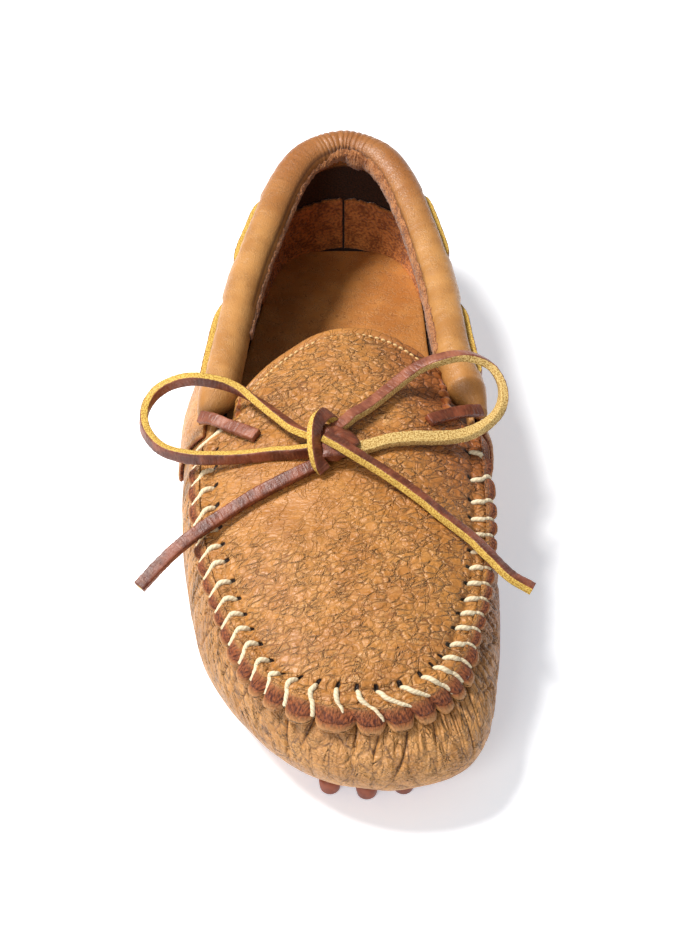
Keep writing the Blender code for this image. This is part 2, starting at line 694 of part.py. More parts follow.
def soft_line(points, count):
    """Smooth curve through a few points, sampled evenly along the list."""
    points = np.array(points, float)
    ends = np.vstack([2 * points[0] - points[1], points, 2 * points[-1] - points[-2]])
    found = []
    for step in np.linspace(0, len(points) - 1, count):
        k = min(int(step), len(points) - 2)
        part = step - k
        a, b, c, d = ends[k:k + 4]
        found.append(0.5 * (2 * b + (c - a) * part + (2 * a - 5 * b + 4 * c - d) * part**2
                            + (3 * b - a - 3 * c + d) * part**3))
    return np.array(found)


def make_free_lace():
    """Loops and ends of the bow as round cord, with closed ends."""
    for name, route in LACE_ROUTES.items():
        fine = soft_line(route, 200)
        run = np.concatenate([[0], np.cumsum(np.linalg.norm(np.diff(fine, axis=0), axis=1))])
        count = int(round(run[-1] / (2.2 * LACE_TUBE))) + 1
        where = np.linspace(0, run[-1], count)
        line = np.column_stack([np.interp(where, run, fine[:, k]) for k in range(3)])
        data = bpy.data.curves.new(name, "CURVE")
        data.dimensions = "3D"
        data.bevel_depth = LACE_TUBE / 2
        data.bevel_resolution = 2
        data.use_fill_caps = True
        spline = data.splines.new("POLY")
        spline.points.add(count - 1)
        for point, place in zip(spline.points, line):
            point.co = (*place, 1.0)
        item = bpy.data.objects.new(name, data)
        bpy.context.scene.collection.objects.link(item)
        paint(item, (0.30, 0.11, 0.06), 0.6)


def make_knot():
    mesh = bmesh.new()
    bmesh.ops.create_uvsphere(mesh, u_segments=12, v_segments=8, radius=1.0)
    tilt = np.radians(KNOT_TILT)
    for vertex in mesh.verts:
        x, y, z = (value * half for value, half in zip(vertex.co, KNOT_HALF))
        vertex.co = (
            KNOT_AT[0] + x,
            KNOT_AT[1] + y * np.cos(tilt) - z * np.sin(tilt),
            KNOT_AT[2] + y * np.sin(tilt) + z * np.cos(tilt),
        )
    finish("lace_knot", mesh, (0.30, 0.11, 0.06), 0.6)


def main():
    clear_scene()
    make_upper()
    make_plug()
    make_quarter()
    make_collar()
    make_insole()
    make_outsole()
    make_lace_passes()
    make_lace_bars()
    make_free_lace()
    make_knot()


main()
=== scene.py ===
"""Looks of the driving moccasin, a right shoe: leathers, hand sewn ridge, rawhide lace and rubber sole.

Metres, +Z up. The toe points to -Y, the inner (big toe) side is +X and z = 0 is the ground.
"""

import bpy
import numpy as np
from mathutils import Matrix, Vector


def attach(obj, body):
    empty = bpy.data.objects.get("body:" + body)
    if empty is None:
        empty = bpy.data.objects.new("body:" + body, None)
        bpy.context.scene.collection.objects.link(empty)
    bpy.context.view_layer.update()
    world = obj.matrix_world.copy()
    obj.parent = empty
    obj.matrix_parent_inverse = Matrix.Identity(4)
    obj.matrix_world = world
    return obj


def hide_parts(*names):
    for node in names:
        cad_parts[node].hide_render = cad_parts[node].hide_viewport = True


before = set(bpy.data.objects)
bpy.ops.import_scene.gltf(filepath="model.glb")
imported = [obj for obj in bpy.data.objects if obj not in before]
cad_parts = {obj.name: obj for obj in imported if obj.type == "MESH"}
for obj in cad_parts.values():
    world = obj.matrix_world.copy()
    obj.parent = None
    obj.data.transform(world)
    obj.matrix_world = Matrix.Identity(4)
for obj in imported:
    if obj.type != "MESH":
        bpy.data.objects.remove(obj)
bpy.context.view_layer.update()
MM = 0.001

# Sizes of the shoe, as the solids have them
LENGTH = 0.284
BALL_WIDTH = 0.106
HEEL_HEIGHT = 0.066
LEATHER = 0.0020
QUARTER_LEATHER = 0.0017
RIDGE_LEAN = 46.0
COLLAR_WIDTH = 0.0130
COLLAR_DEPTH = 0.0140
TONGUE_REACH = 0.068
TONGUE_ARCH = 0.150
PLUG_CROWN = 0.105
PLUG_VALLEY = 0.0010
PLUG_LIFT = 0.0056
PLUG_BESIDE = 0.0014
INSOLE_PAD = 0.0032
INSOLE_INSET = 0.0012
INSOLE_BACK = 0.0112
FLOOR_SAG = 0.0004
SOLE_PLATE = 0.0016
SOLE_EDGE = 0.0022
POD_DIAMETER = 0.0066
POD_PITCH = 0.0116
POD_FRONT = -0.4490
POD_WAIST = -0.1500
POD_HEEL = 0.2850
POD_MIDDLE = 0.192
POD_TURN = 0.0020
POD_MARGIN = 0.0046
LACE_WIDTH = 0.0042
LACE_THICK = 0.0024
LACE_EDGE = 0.0029
LACE_PROUD = 0.0009
LACE_LOW = 0.0006
SEAM_GAP = 0.0003
OVERLAY_GAP = 0.0004
COLLAR_GAP = 0.0003
SOLE_GAP = 0.0003
INSOLE_GAP = 0.0004
LACE_GAP = 0.0003

# Round the shoe from the heel along the inner side to the toe and back along the outer side.
# Along and side place the widest line, seam along and seam side the top edge of the wall.
# The along columns are shares of LENGTH, the side columns of half BALL_WIDTH, foot in of
# BALL_WIDTH, and foot up, girth up and top up of HEEL_HEIGHT.
ALONG, SIDE, FOOT_IN, FOOT_UP, GIRTH_UP, SEAM_ALONG, SEAM_SIDE, TOP_UP = range(8)
ROWS = {
    "heel back": (0.000, 0.05, 0.090, 0.085, 0.36, 0.017, 0.050, 0.785),
    "heel inner back": (0.016, 0.345, 0.090, 0.085, 0.36, 0.036, 0.289, 0.775),
    "heel inner corner": (0.055, 0.590, 0.090, 0.085, 0.36, 0.073, 0.434, 0.750),
    "heel inner side": (0.135, 0.735, 0.095, 0.090, 0.35, 0.141, 0.568, 0.705),
    "waist inner": (0.270, 0.815, 0.110, 0.105, 0.34, 0.272, 0.720, 0.655),
    "mid inner": (0.410, 0.940, 0.120, 0.110, 0.33, 0.413, 0.809, 0.650),
    "ear inner": (0.500, 0.985, 0.130, 0.100, 0.33, 0.501, 0.893, 0.635),
    "instep inner": (0.580, 1.00, 0.130, 0.090, 0.32, 0.581, 0.898, 0.640),
    "ball inner": (0.680, 1.025, 0.130, 0.085, 0.32, 0.680, 0.902, 0.605),
    "joint inner": (0.780, 1.020, 0.130, 0.085, 0.32, 0.777, 0.849, 0.575),
    "great toe side": (0.870, 0.965, 0.135, 0.090, 0.32, 0.847, 0.753, 0.560),
    "great toe corner": (0.938, 0.890, 0.140, 0.100, 0.32, 0.879, 0.685, 0.555),
    "toe inner front": (0.980, 0.725, 0.145, 0.115, 0.33, 0.913, 0.558, 0.555),
    "toe tip": (1.000, 0.330, 0.150, 0.120, 0.33, 0.934, 0.325, 0.555),
    "toe outer front": (0.986, -0.070, 0.150, 0.115, 0.33, 0.934, 0.045, 0.555),
    "toe outer corner": (0.948, -0.380, 0.145, 0.100, 0.32, 0.916, -0.217, 0.555),
    "little toe": (0.888, -0.630, 0.140, 0.090, 0.32, 0.873, -0.458, 0.560),
    "joint outer": (0.810, -0.820, 0.135, 0.085, 0.32, 0.800, -0.638, 0.570),
    "ball outer": (0.720, -0.920, 0.130, 0.085, 0.32, 0.716, -0.762, 0.595),
    "instep outer": (0.630, -0.980, 0.130, 0.085, 0.32, 0.628, -0.819, 0.625),
    "ear outer": (0.540, -1.000, 0.130, 0.085, 0.33, 0.539, -0.808, 0.632),
    "mid outer": (0.430, -0.980, 0.120, 0.090, 0.33, 0.436, -0.755, 0.640),
    "waist outer": (0.270, -0.800, 0.110, 0.090, 0.34, 0.276, -0.643, 0.655),
    "heel outer side": (0.135, -0.645, 0.095, 0.085, 0.35, 0.143, -0.470, 0.705),
    "heel outer corner": (0.055, -0.495, 0.090, 0.085, 0.36, 0.073, -0.340, 0.750),
    "heel outer back": (0.016, -0.245, 0.090, 0.085, 0.36, 0.036, -0.189, 0.775),
}
SCALES = (LENGTH, BALL_WIDTH / 2, BALL_WIDTH, HEEL_HEIGHT, HEEL_HEIGHT, LENGTH, BALL_WIDTH / 2, HEEL_HEIGHT)
TABLE = np.array(list(ROWS.values())) * SCALES
COUNT = len(ROWS)
TOE = 13
EAR_INNER = 6
EAR_OUTER = 20
SHOULDER = np.radians(62)
TONGUE_INNER = 5.35
TONGUE_OUTER = 20.45
COLLAR_INNER = 6.05
COLLAR_OUTER = 20.25
RIDGE_INNER = 6.75
RIDGE_OUTER = 19.60
RIDGE_FADE = 0.45
TOE_CORNER = 8 / 3
SIDE_CORNER = 20 / 3
QUARTER_LOW = 0.42
QUARTER_SWEEP = 0.50
QUARTER_TOP = 1.895

# Sewing holes of the whip stitch, counted in rows from the inner ear round the toe to the outer ear
STITCHES = (
    7.02, 7.46, 7.77, 8.02, 8.26, 8.50, 8.73, 8.97, 9.23, 9.50, 9.82, 10.24, 10.95, 11.48, 12.00, 12.64,
    13.27, 13.74, 14.21, 14.75, 15.26, 15.64, 15.96, 16.30, 16.58, 16.84, 17.10, 17.37, 17.69, 17.94,
    18.22, 18.58, 18.91, 19.22, 19.55, 19.85,
)
WHIP_THREAD = 0.0017
TONGUE_THREAD = 0.0009
TONGUE_STITCH = 0.0023
# How far each stitch slants towards the inner side, in stitches, at some places round the toe
SLANT_PLACES = (7.0, 10.2, 10.95, 11.5, 12.0, 12.6, 13.3, 13.7, 14.2, 14.8, 15.3, 15.7, 16.1, 17.0, 19.8)
SLANTS = (0.40, 0.40, 0.30, 0.40, 0.65, 1.05, 1.25, 1.10, 0.60, 0.42, 0.40, 0.55, 0.60, 0.42, 0.42)
# Share of the slant that is reached where the thread comes to the edge of the plug
SLANT_START = 0.35
# Sewing holes and hem of the tongue, in mm from the edge, and about the run of one stitch, in mm
HOLE_IN = 3.9
HEM = 2.5
STITCH_PITCH = 7.0

# Skin from the floor to the widest line, and from there to the top edge, in metres
SKIN_HEIGHT = 0.034
# Middle of the collar's roll above the top edge of the wall
COLLAR_MIDDLE = COLLAR_DEPTH / 2 * 0.97 + 0.0002

# How far the lower front of the toe is drawn in against the plain wall, in mm
TOE_TUCK = 1.8

LACE_PASSES = {
    "lace_inner_rear": (2.80, 3.66),
    "lace_inner_front": (4.42, 5.36),
    "lace_outer_front": (20.84, 21.64),
    "lace_outer_rear": (22.28, 23.08),
}


def spline(before, here, after, later, part):
    """Smooth curve from here to after, led by the points before and later."""
    return 0.5 * (
        2 * here
        + (after - before) * part
        + (2 * before - 5 * here + 4 * after - later) * part**2
        + (3 * here - before - 3 * after + later) * part**3
    )


def smooth_rows(place):
    """Table values, in metres, at a place counted in rows; the table closes on itself."""
    place = np.atleast_1d(np.asarray(place, float)) % COUNT
    row = np.floor(place).astype(int)
    return spline(*(TABLE[(row + step) % COUNT] for step in (-1, 0, 1, 2)), (place - row)[:, None])


def catmull(points, step):
    """Points of a smooth open curve through a few points, at steps counted from the first of them."""
    points, step = np.array(points, float), np.atleast_1d(step)
    ends = np.vstack([2 * points[0] - points[1], points, 2 * points[-1] - points[-2]])
    first = np.minimum(step.astype(int), len(points) - 2)
    return spline(*(ends[first + k] for k in range(4)), (step - first)[:, None])


def girth(place):
    """Widest line of the shoe seen from above."""
    values = smooth_rows(place)
    return np.stack([values[:, SIDE], LENGTH / 2 - values[:, ALONG]], 1)


def seam(place):
    """Top edge of the wall seen from above."""
    values = smooth_rows(place)
    return np.stack([values[:, SEAM_SIDE], LENGTH / 2 - values[:, SEAM_ALONG]], 1)


def outward(place, line):
    """Level direction out of the shoe, square to a line."""
    step = 0.60
    along = line(np.atleast_1d(place) + step) - line(np.atleast_1d(place) - step)
    along /= np.linalg.norm(along, axis=1)[:, None]
    return np.stack([-along[:, 1], along[:, 0]], 1)


def at(place, line, out, up):
    """Point beside a line: out along the level direction, up from the ground."""
    place = np.atleast_1d(np.asarray(place, float))
    flat = line(place) + outward(place, line) * np.broadcast_to(out, place.shape)[:, None]
    return np.column_stack([flat, np.broadcast_to(up, place.shape)])


def over_seam(place, out, up):
    """Point beside and above the top edge of the wall."""
    return at(place, seam, out, smooth_rows(place)[:, TOP_UP] + up)


def wall(place, height):
    """Outer face of the upper: height 0 is the edge of the floor, 1 the girth, 2 the top."""
    place = np.atleast_1d(np.asarray(place, float))
    height = np.broadcast_to(np.asarray(height, float), place.shape)
    values = smooth_rows(place)
    foot_in, foot_up, girth_up, top_up = (values[:, k] for k in (FOOT_IN, FOOT_UP, GIRTH_UP, TOP_UP))
    low = np.clip(height, 0, 1) * np.pi / 2
    high = np.clip(height - 1, 0, 1) * SHOULDER
    up = girth_up - (girth_up - foot_up) * np.cos(low) + (top_up - girth_up) * np.sin(high) / np.sin(SHOULDER)
    point = at(place, girth, -foot_in * (1 - np.sin(low)), up)
    share = (1 - np.cos(high)) / (1 - np.cos(SHOULDER))
    point[:, :2] += (seam(place) - girth(place)) * share[:, None]
    return point


def wall_way(place, height):
    """Direction straight out of the outer face of the upper."""
    step = 0.02
    place = np.atleast_1d(np.asarray(place, float))
    height = np.broadcast_to(np.asarray(height, float), place.shape)
    rise = wall(place, np.clip(height + step, 0, 2)) - wall(place, np.clip(height - step, 0, 2))
    along = wall(place + step, height) - wall(place - step, height)
    face = np.cross(rise, along)
    face /= np.linalg.norm(face, axis=1)[:, None]
    side = np.sum(face[:, :2] * outward(place, girth), axis=1)
    return face * np.where(side < 0, -1.0, 1.0)[:, None]


def wall_face(place, height, off):
    """A point a given distance off the outer face of the upper."""
    off = np.broadcast_to(np.asarray(off, float), np.atleast_1d(place).shape)
    return wall(place, height) + wall_way(place, height) * off[:, None]


def lip_share(place):
    """1 along the hand sewn ridge, fading to 0 behind the ears."""
    place = np.atleast_1d(np.asarray(place, float))
    rise = np.clip((place - RIDGE_INNER) / RIDGE_FADE + 1, 0, 1)
    fall = np.clip((RIDGE_OUTER - place) / RIDGE_FADE + 1, 0, 1)
    share = np.minimum(rise, fall)
    return share * share * (3 - 2 * share)


def lip(place, across, climb):
    """Beside the top edge: across runs out of the lip, climb up along it."""
    lean = np.radians(RIDGE_LEAN) * lip_share(place)
    values = smooth_rows(place)
    out = across * np.cos(lean) + climb * np.sin(lean)
    up = values[:, TOP_UP] - across * np.sin(lean) + climb * np.cos(lean)
    return at(place, seam, out, up)


def plug_edge(place):
    """Flesh side of the plug where it turns up against the upper, or lies beside the collar."""
    share = lip_share(place)
    beside = COLLAR_WIDTH / 2 + LEATHER / 2 + COLLAR_GAP + PLUG_BESIDE
    across = -(LEATHER + SEAM_GAP) * share - beside * (1 - share)
    climb = PLUG_VALLEY * share + PLUG_LIFT * (1 - share)
    return lip(place, across, climb)


def tongue_edge(share):
    """Top edge of the tongue from the outer corner (0) to the inner corner (1)."""
    outer = plug_edge(TONGUE_OUTER)[0]
    inner = plug_edge(TONGUE_INNER)[0]
    share = np.atleast_1d(np.asarray(share, float))[:, None]
    line = outer + (inner - outer) * share
    bow = 4 * share * (1 - share)
    return line + np.hstack([0 * share, TONGUE_REACH * LENGTH * bow, TONGUE_ARCH * HEEL_HEIGHT * bow**0.75])


def side_place(along, toe, side, tongue):
    """Place on the side of the plug: the first four fifths run along the ridge, the rest along the tongue."""
    front = np.clip(along / 0.8, 0, 1)
    back = np.clip((along - 0.8) / 0.2, 0, 1)
    return toe + (side - toe) * front + (tongue - side) * back


def plug_surface(across, along):
    """Flesh side of the plug: across runs 0 to 1 to the inner side, along 0 to 1 from toe to tongue."""
    across = np.atleast_1d(np.asarray(across, float))
    along = np.atleast_1d(np.asarray(along, float))
    outer_toe = TOE + TOE_CORNER
    inner_toe = TOE - TOE_CORNER
    left = plug_edge(side_place(along, outer_toe, TOE + SIDE_CORNER, TONGUE_OUTER))
    right = plug_edge(side_place(along, inner_toe, TOE - SIDE_CORNER, TONGUE_INNER))
    toe = plug_edge(outer_toe + (inner_toe - outer_toe) * across)
    tongue = tongue_edge(across)
    a, b = across[:, None], along[:, None]
    corner = [plug_edge(outer_toe)[0], plug_edge(inner_toe)[0], tongue_edge(0)[0], tongue_edge(1)[0]]
    flat = (1 - a) * left + a * right + (1 - b) * toe + b * tongue
    shares = ((1 - a) * (1 - b), a * (1 - b), (1 - a) * b, a * b)
    flat -= sum(share * spot for share, spot in zip(shares, corner))
    side = np.clip(4 * across * (1 - across), 0, 1)
    crown = side**0.8 * np.sin(np.pi * np.clip(along, 0, 1) ** 0.85) ** 0.8
    flat[:, 2] += PLUG_CROWN * HEEL_HEIGHT * crown
    return flat


def floor_edge(place, inset):
    """Edge of the flat under the foot, moved in by a distance."""
    values = smooth_rows(place)
    return at(place, girth, -values[:, FOOT_IN] - inset, values[:, FOOT_UP])


# Soft random fields, the same on every run


def value_noise(x, y, seed):
    """Smooth random field between -1 and 1, about one swell per unit."""
    table = np.random.default_rng(seed).uniform(-1, 1, (97, 97))
    left, low = np.floor(x).astype(int), np.floor(y).astype(int)
    part_x, part_y = x - left, y - low
    part_x = part_x * part_x * (3 - 2 * part_x)
    part_y = part_y * part_y * (3 - 2 * part_y)
    corner = [table[(left + i) % 97, (low + j) % 97] for i in (0, 1) for j in (0, 1)]
    bottom = corner[0] * (1 - part_x) + corner[2] * part_x
    top = corner[1] * (1 - part_x) + corner[3] * part_x
    return bottom * (1 - part_y) + top * part_y


def creases(x, y, seed, width=0.10):
    """Thin winding lines where a soft field crosses zero: 1 in the line, 0 beside it."""
    field = value_noise(x, y, seed) + 0.35 * value_noise(2.1 * x + 9.3, 2.1 * y + 4.1, seed + 1)
    return np.exp(-((field / width) ** 2))


def ease(value):
    """Soft step from 0 to 1."""
    value = np.clip(value, 0, 1)
    return value * value * (3 - 2 * value)


# Meshes from grids of points

# Points nearer than this, in metres, become one
WELD = 1e-7


def grid_mesh(name, points, skin, fields, ring=False, wrap_rows=False):
    """Mesh from a grid of points, rows by columns. In a ring the last column repeats the first.

    skin holds two lengths in metres at each point, the way the leather lies, and becomes the UV map.
    Points that fall together are welded. fields are numbers kept on each point for the finishes.
    """
    points, skin = np.array(points), np.array(skin)
    rows, columns = points.shape[:2]
    ids = np.arange(rows * columns).reshape(rows, columns)
    if ring:
        ids[:, -1] = ids[:, 0]
    if wrap_rows:
        ids[-1] = ids[0]
    flat = points.reshape(-1, 3)
    key = np.round(flat / WELD).astype(np.int64)
    first, welded = np.unique(key, axis=0, return_index=True, return_inverse=True)[1:]
    welded = welded.reshape(-1)[ids]
    corner = np.arange(rows * columns).reshape(rows, columns)
    quads = np.stack([welded[:-1, :-1], welded[:-1, 1:], welded[1:, 1:], welded[1:, :-1]], -1).reshape(-1, 4)
    spots = np.stack([corner[:-1, :-1], corner[:-1, 1:], corner[1:, 1:], corner[1:, :-1]], -1).reshape(-1, 4)
    differs = quads != np.roll(quads, 1, axis=1)
    kept = differs.sum(axis=1) >= 3
    quads, spots, differs = quads[kept], spots[kept], differs[kept]
    faces = [list(face[keep]) for face, keep in zip(quads, differs)]
    mesh = bpy.data.meshes.new(name)
    mesh.from_pydata(flat[first], [], faces)
    layer = mesh.uv_layers.new(name="skin")
    layer.data.foreach_set("uv", skin.reshape(-1, 2)[spots[differs]].astype(np.float32).ravel())
    for field, values in fields.items():
        attribute = mesh.attributes.new(field, "FLOAT", "POINT")
        values = np.broadcast_to(values, (rows, columns)).reshape(-1)[first]
        attribute.data.foreach_set("value", values.astype(np.float32))
    return finish_mesh(name, mesh)


def finish_mesh(name, mesh):
    """Object with faces turned outwards and shaded smooth."""
    mesh.validate()
    if signed_volume(mesh) < 0:
        mesh.flip_normals()
    mesh.polygons.foreach_set("use_smooth", [True] * len(mesh.polygons))
    mesh.update()
    item = bpy.data.objects.new(name, mesh)
    bpy.context.scene.collection.objects.link(item)
    return item


def signed_volume(mesh):
    """Six times the volume inside a mesh, below 0 where its faces look inwards."""
    mesh.calc_loop_triangles()
    spots = np.empty(len(mesh.vertices) * 3, np.float64)
    mesh.vertices.foreach_get("co", spots)
    corners = np.empty(len(mesh.loop_triangles) * 3, np.int32)
    mesh.loop_triangles.foreach_get("vertices", corners)
    a, b, c = spots.reshape(-1, 3)[corners.reshape(-1, 3)].transpose(1, 0, 2)
    return float(np.sum(np.cross(a, b) * c))


def dress(item, material, nodes=(), body="root"):
    """Give a piece its finish, hang it under its body and hide the solids that it stands for."""
    item.data.materials.clear()
    item.data.materials.append(material)
    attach(item, body)
    if nodes:
        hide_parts(*nodes)


def join(name, items):
    """One object from many small ones."""
    bpy.ops.object.select_all(action="DESELECT")
    for item in items:
        item.select_set(True)
    bpy.context.view_layer.objects.active = items[0]
    bpy.ops.object.join()
    items[0].name = name
    items[0].data.name = name
    return items[0]


def with_last(columns, value):
    """A row of points whose last measure is the same for all."""
    return np.column_stack([columns, np.full(len(columns), value)])


def rounded_end(from_end, radius):
    """Thickness of a sheet near its cut ends, 0 at the end and 1 inside."""
    return np.sqrt(np.clip(1 - (1 - np.clip(from_end / radius, 0, 1)) ** 2, 0, 1))


def run_length(line):
    """Distance run along a line of points, in metres."""
    return np.concatenate([[0], np.cumsum(np.linalg.norm(np.diff(line, axis=0), axis=1))])


def soft_line(points, count):
    """Smooth curve through a few points, with points spread evenly along it."""
    fine = catmull(points, np.linspace(0, len(points) - 1, 24 * len(points)))
    run = run_length(fine[:, :3])
    where = np.linspace(0, run[-1], count)
    return np.column_stack([np.interp(where, run, fine[:, j]) for j in range(fine.shape[1])])


# Finishes


def linear(code):
    """sRGB hex to linear colour."""
    channels = [int(code[k:k + 2], 16) / 255 for k in (1, 3, 5)]
    return (*(c / 12.92 if c <= 0.04045 else ((c + 0.055) / 1.055) ** 2.4 for c in channels), 1.0)


def fill(tree, item, inputs):
    """Give the inputs of a node their values or links."""
    for key, value in inputs.items():
        if isinstance(value, bpy.types.NodeSocket):
            tree.links.new(value, item.inputs[key])
        else:
            item.inputs[key].default_value = value


def add(tree, kind, inputs=None, out=0, **settings):
    """Add one node with its settings and links, and give back one of its outputs."""
    item = tree.nodes.new("ShaderNode" + kind)
    for name, value in settings.items():
        setattr(item, name, value)
    fill(tree, item, inputs or {})
    return item.outputs[out]


def new_finish(name):
    """A material with its node tree and its shader."""
    material = bpy.data.materials.new(name)
    material.use_nodes = True
    tree = material.node_tree
    return material, tree, tree.nodes["Principled BSDF"]


def skin_space(tree, size_mm, stretch=(1.0, 1.0), turn=0.0):
    """The skin's own lengths, turned, then counted in cells of a real size and stretched."""
    skin = add(tree, "UVMap", uv_map="skin")
    turned = add(tree, "Mapping", {"Vector": skin, "Rotation": (0, 0, turn)})
    cells = (1 / MM / size_mm / stretch[0], 1 / MM / size_mm / stretch[1], 1.0)
    return add(tree, "Mapping", {"Vector": turned, "Scale": cells})


def mottle(tree, size_mm, detail=3.0, stretch=(1.0, 1.0)):
    """Soft random spots of a real size."""
    space = skin_space(tree, size_mm, stretch)
    return add(tree, "TexNoise", {"Vector": space, "Scale": 1.0, "Detail": detail})


def network(tree, space):
    """Distance to the nearest line of a net, 0 on the lines; two noises keep its cells from being even."""
    for amount, scale in ((1.2, 0.5), (0.10, 1.8)):
        drift = add(tree, "TexNoise", {"Vector": space, "Scale": scale, "Detail": 3.0}, out=1)
        away = add(tree, "VectorMath", {0: drift, 1: (0.5, 0.5, 0.5)}, operation="SUBTRACT")
        away = add(tree, "VectorMath", {0: away, "Scale": amount}, operation="SCALE")
        space = add(tree, "VectorMath", {0: space, 1: away}, operation="ADD")
    return add(tree, "TexVoronoi", {"Vector": space, "Scale": 1.0}, feature="DISTANCE_TO_EDGE")


def mask(tree, value, low=0.0, high=1.0, start=0.0, end=1.0, times=()):
    """A value eased from one limit to another, and held back by the others given in times."""
    limits = {"Value": value, "From Min": low, "From Max": high, "To Min": start, "To Max": end}
    share = add(tree, "MapRange", limits, interpolation_type="SMOOTHSTEP")
    for other in times:
        share = add(tree, "Math", {0: share, 1: other}, operation="MULTIPLY")
    return share


def wrinkles(tree, space, width):
    """Thin winding lines: 1 in the line, 0 beside it."""
    level = add(tree, "TexNoise", {"Vector": space, "Scale": 1.0, "Detail": 3.0, "Distortion": 0.7})
    off = add(tree, "Math", {0: level, 1: 0.5}, operation="SUBTRACT")
    return mask(tree, add(tree, "Math", {0: off}, operation="ABSOLUTE"), 0.0, width, 1.0, 0.0)


def paint(tree, colour, *coats):
    """Coats laid over a colour, each a colour and the shares whose product says how far it covers."""
    for tint, share, *others in coats:
        for other in others:
            share = add(tree, "Math", {0: share, 1: other}, operation="MULTIPLY")
        under, over = (linear(shade) if isinstance(shade, str) else shade for shade in (colour, tint))
        colour = add(tree, "Mix", {0: share, 6: under, 7: over}, out=2, data_type="RGBA")
    return colour


def hills(tree, layers):
    """Bump from layers of (height, depth in metres), from the coarsest to the finest."""
    normal = {}
    for height, depth in layers:
        bump = add(tree, "Bump", {"Height": height, "Distance": depth, "Strength": 1.0, **normal})
        normal = {"Normal": bump}
    return bump


# What the meshes of leather pieces say about each point; several of them say where shade is painted
LEATHER_FIELDS = (
    "smooth", "folded", "fold_across", "fold_along", "crease_shade", "painted_shade", "raw", "inside", "hole",
)


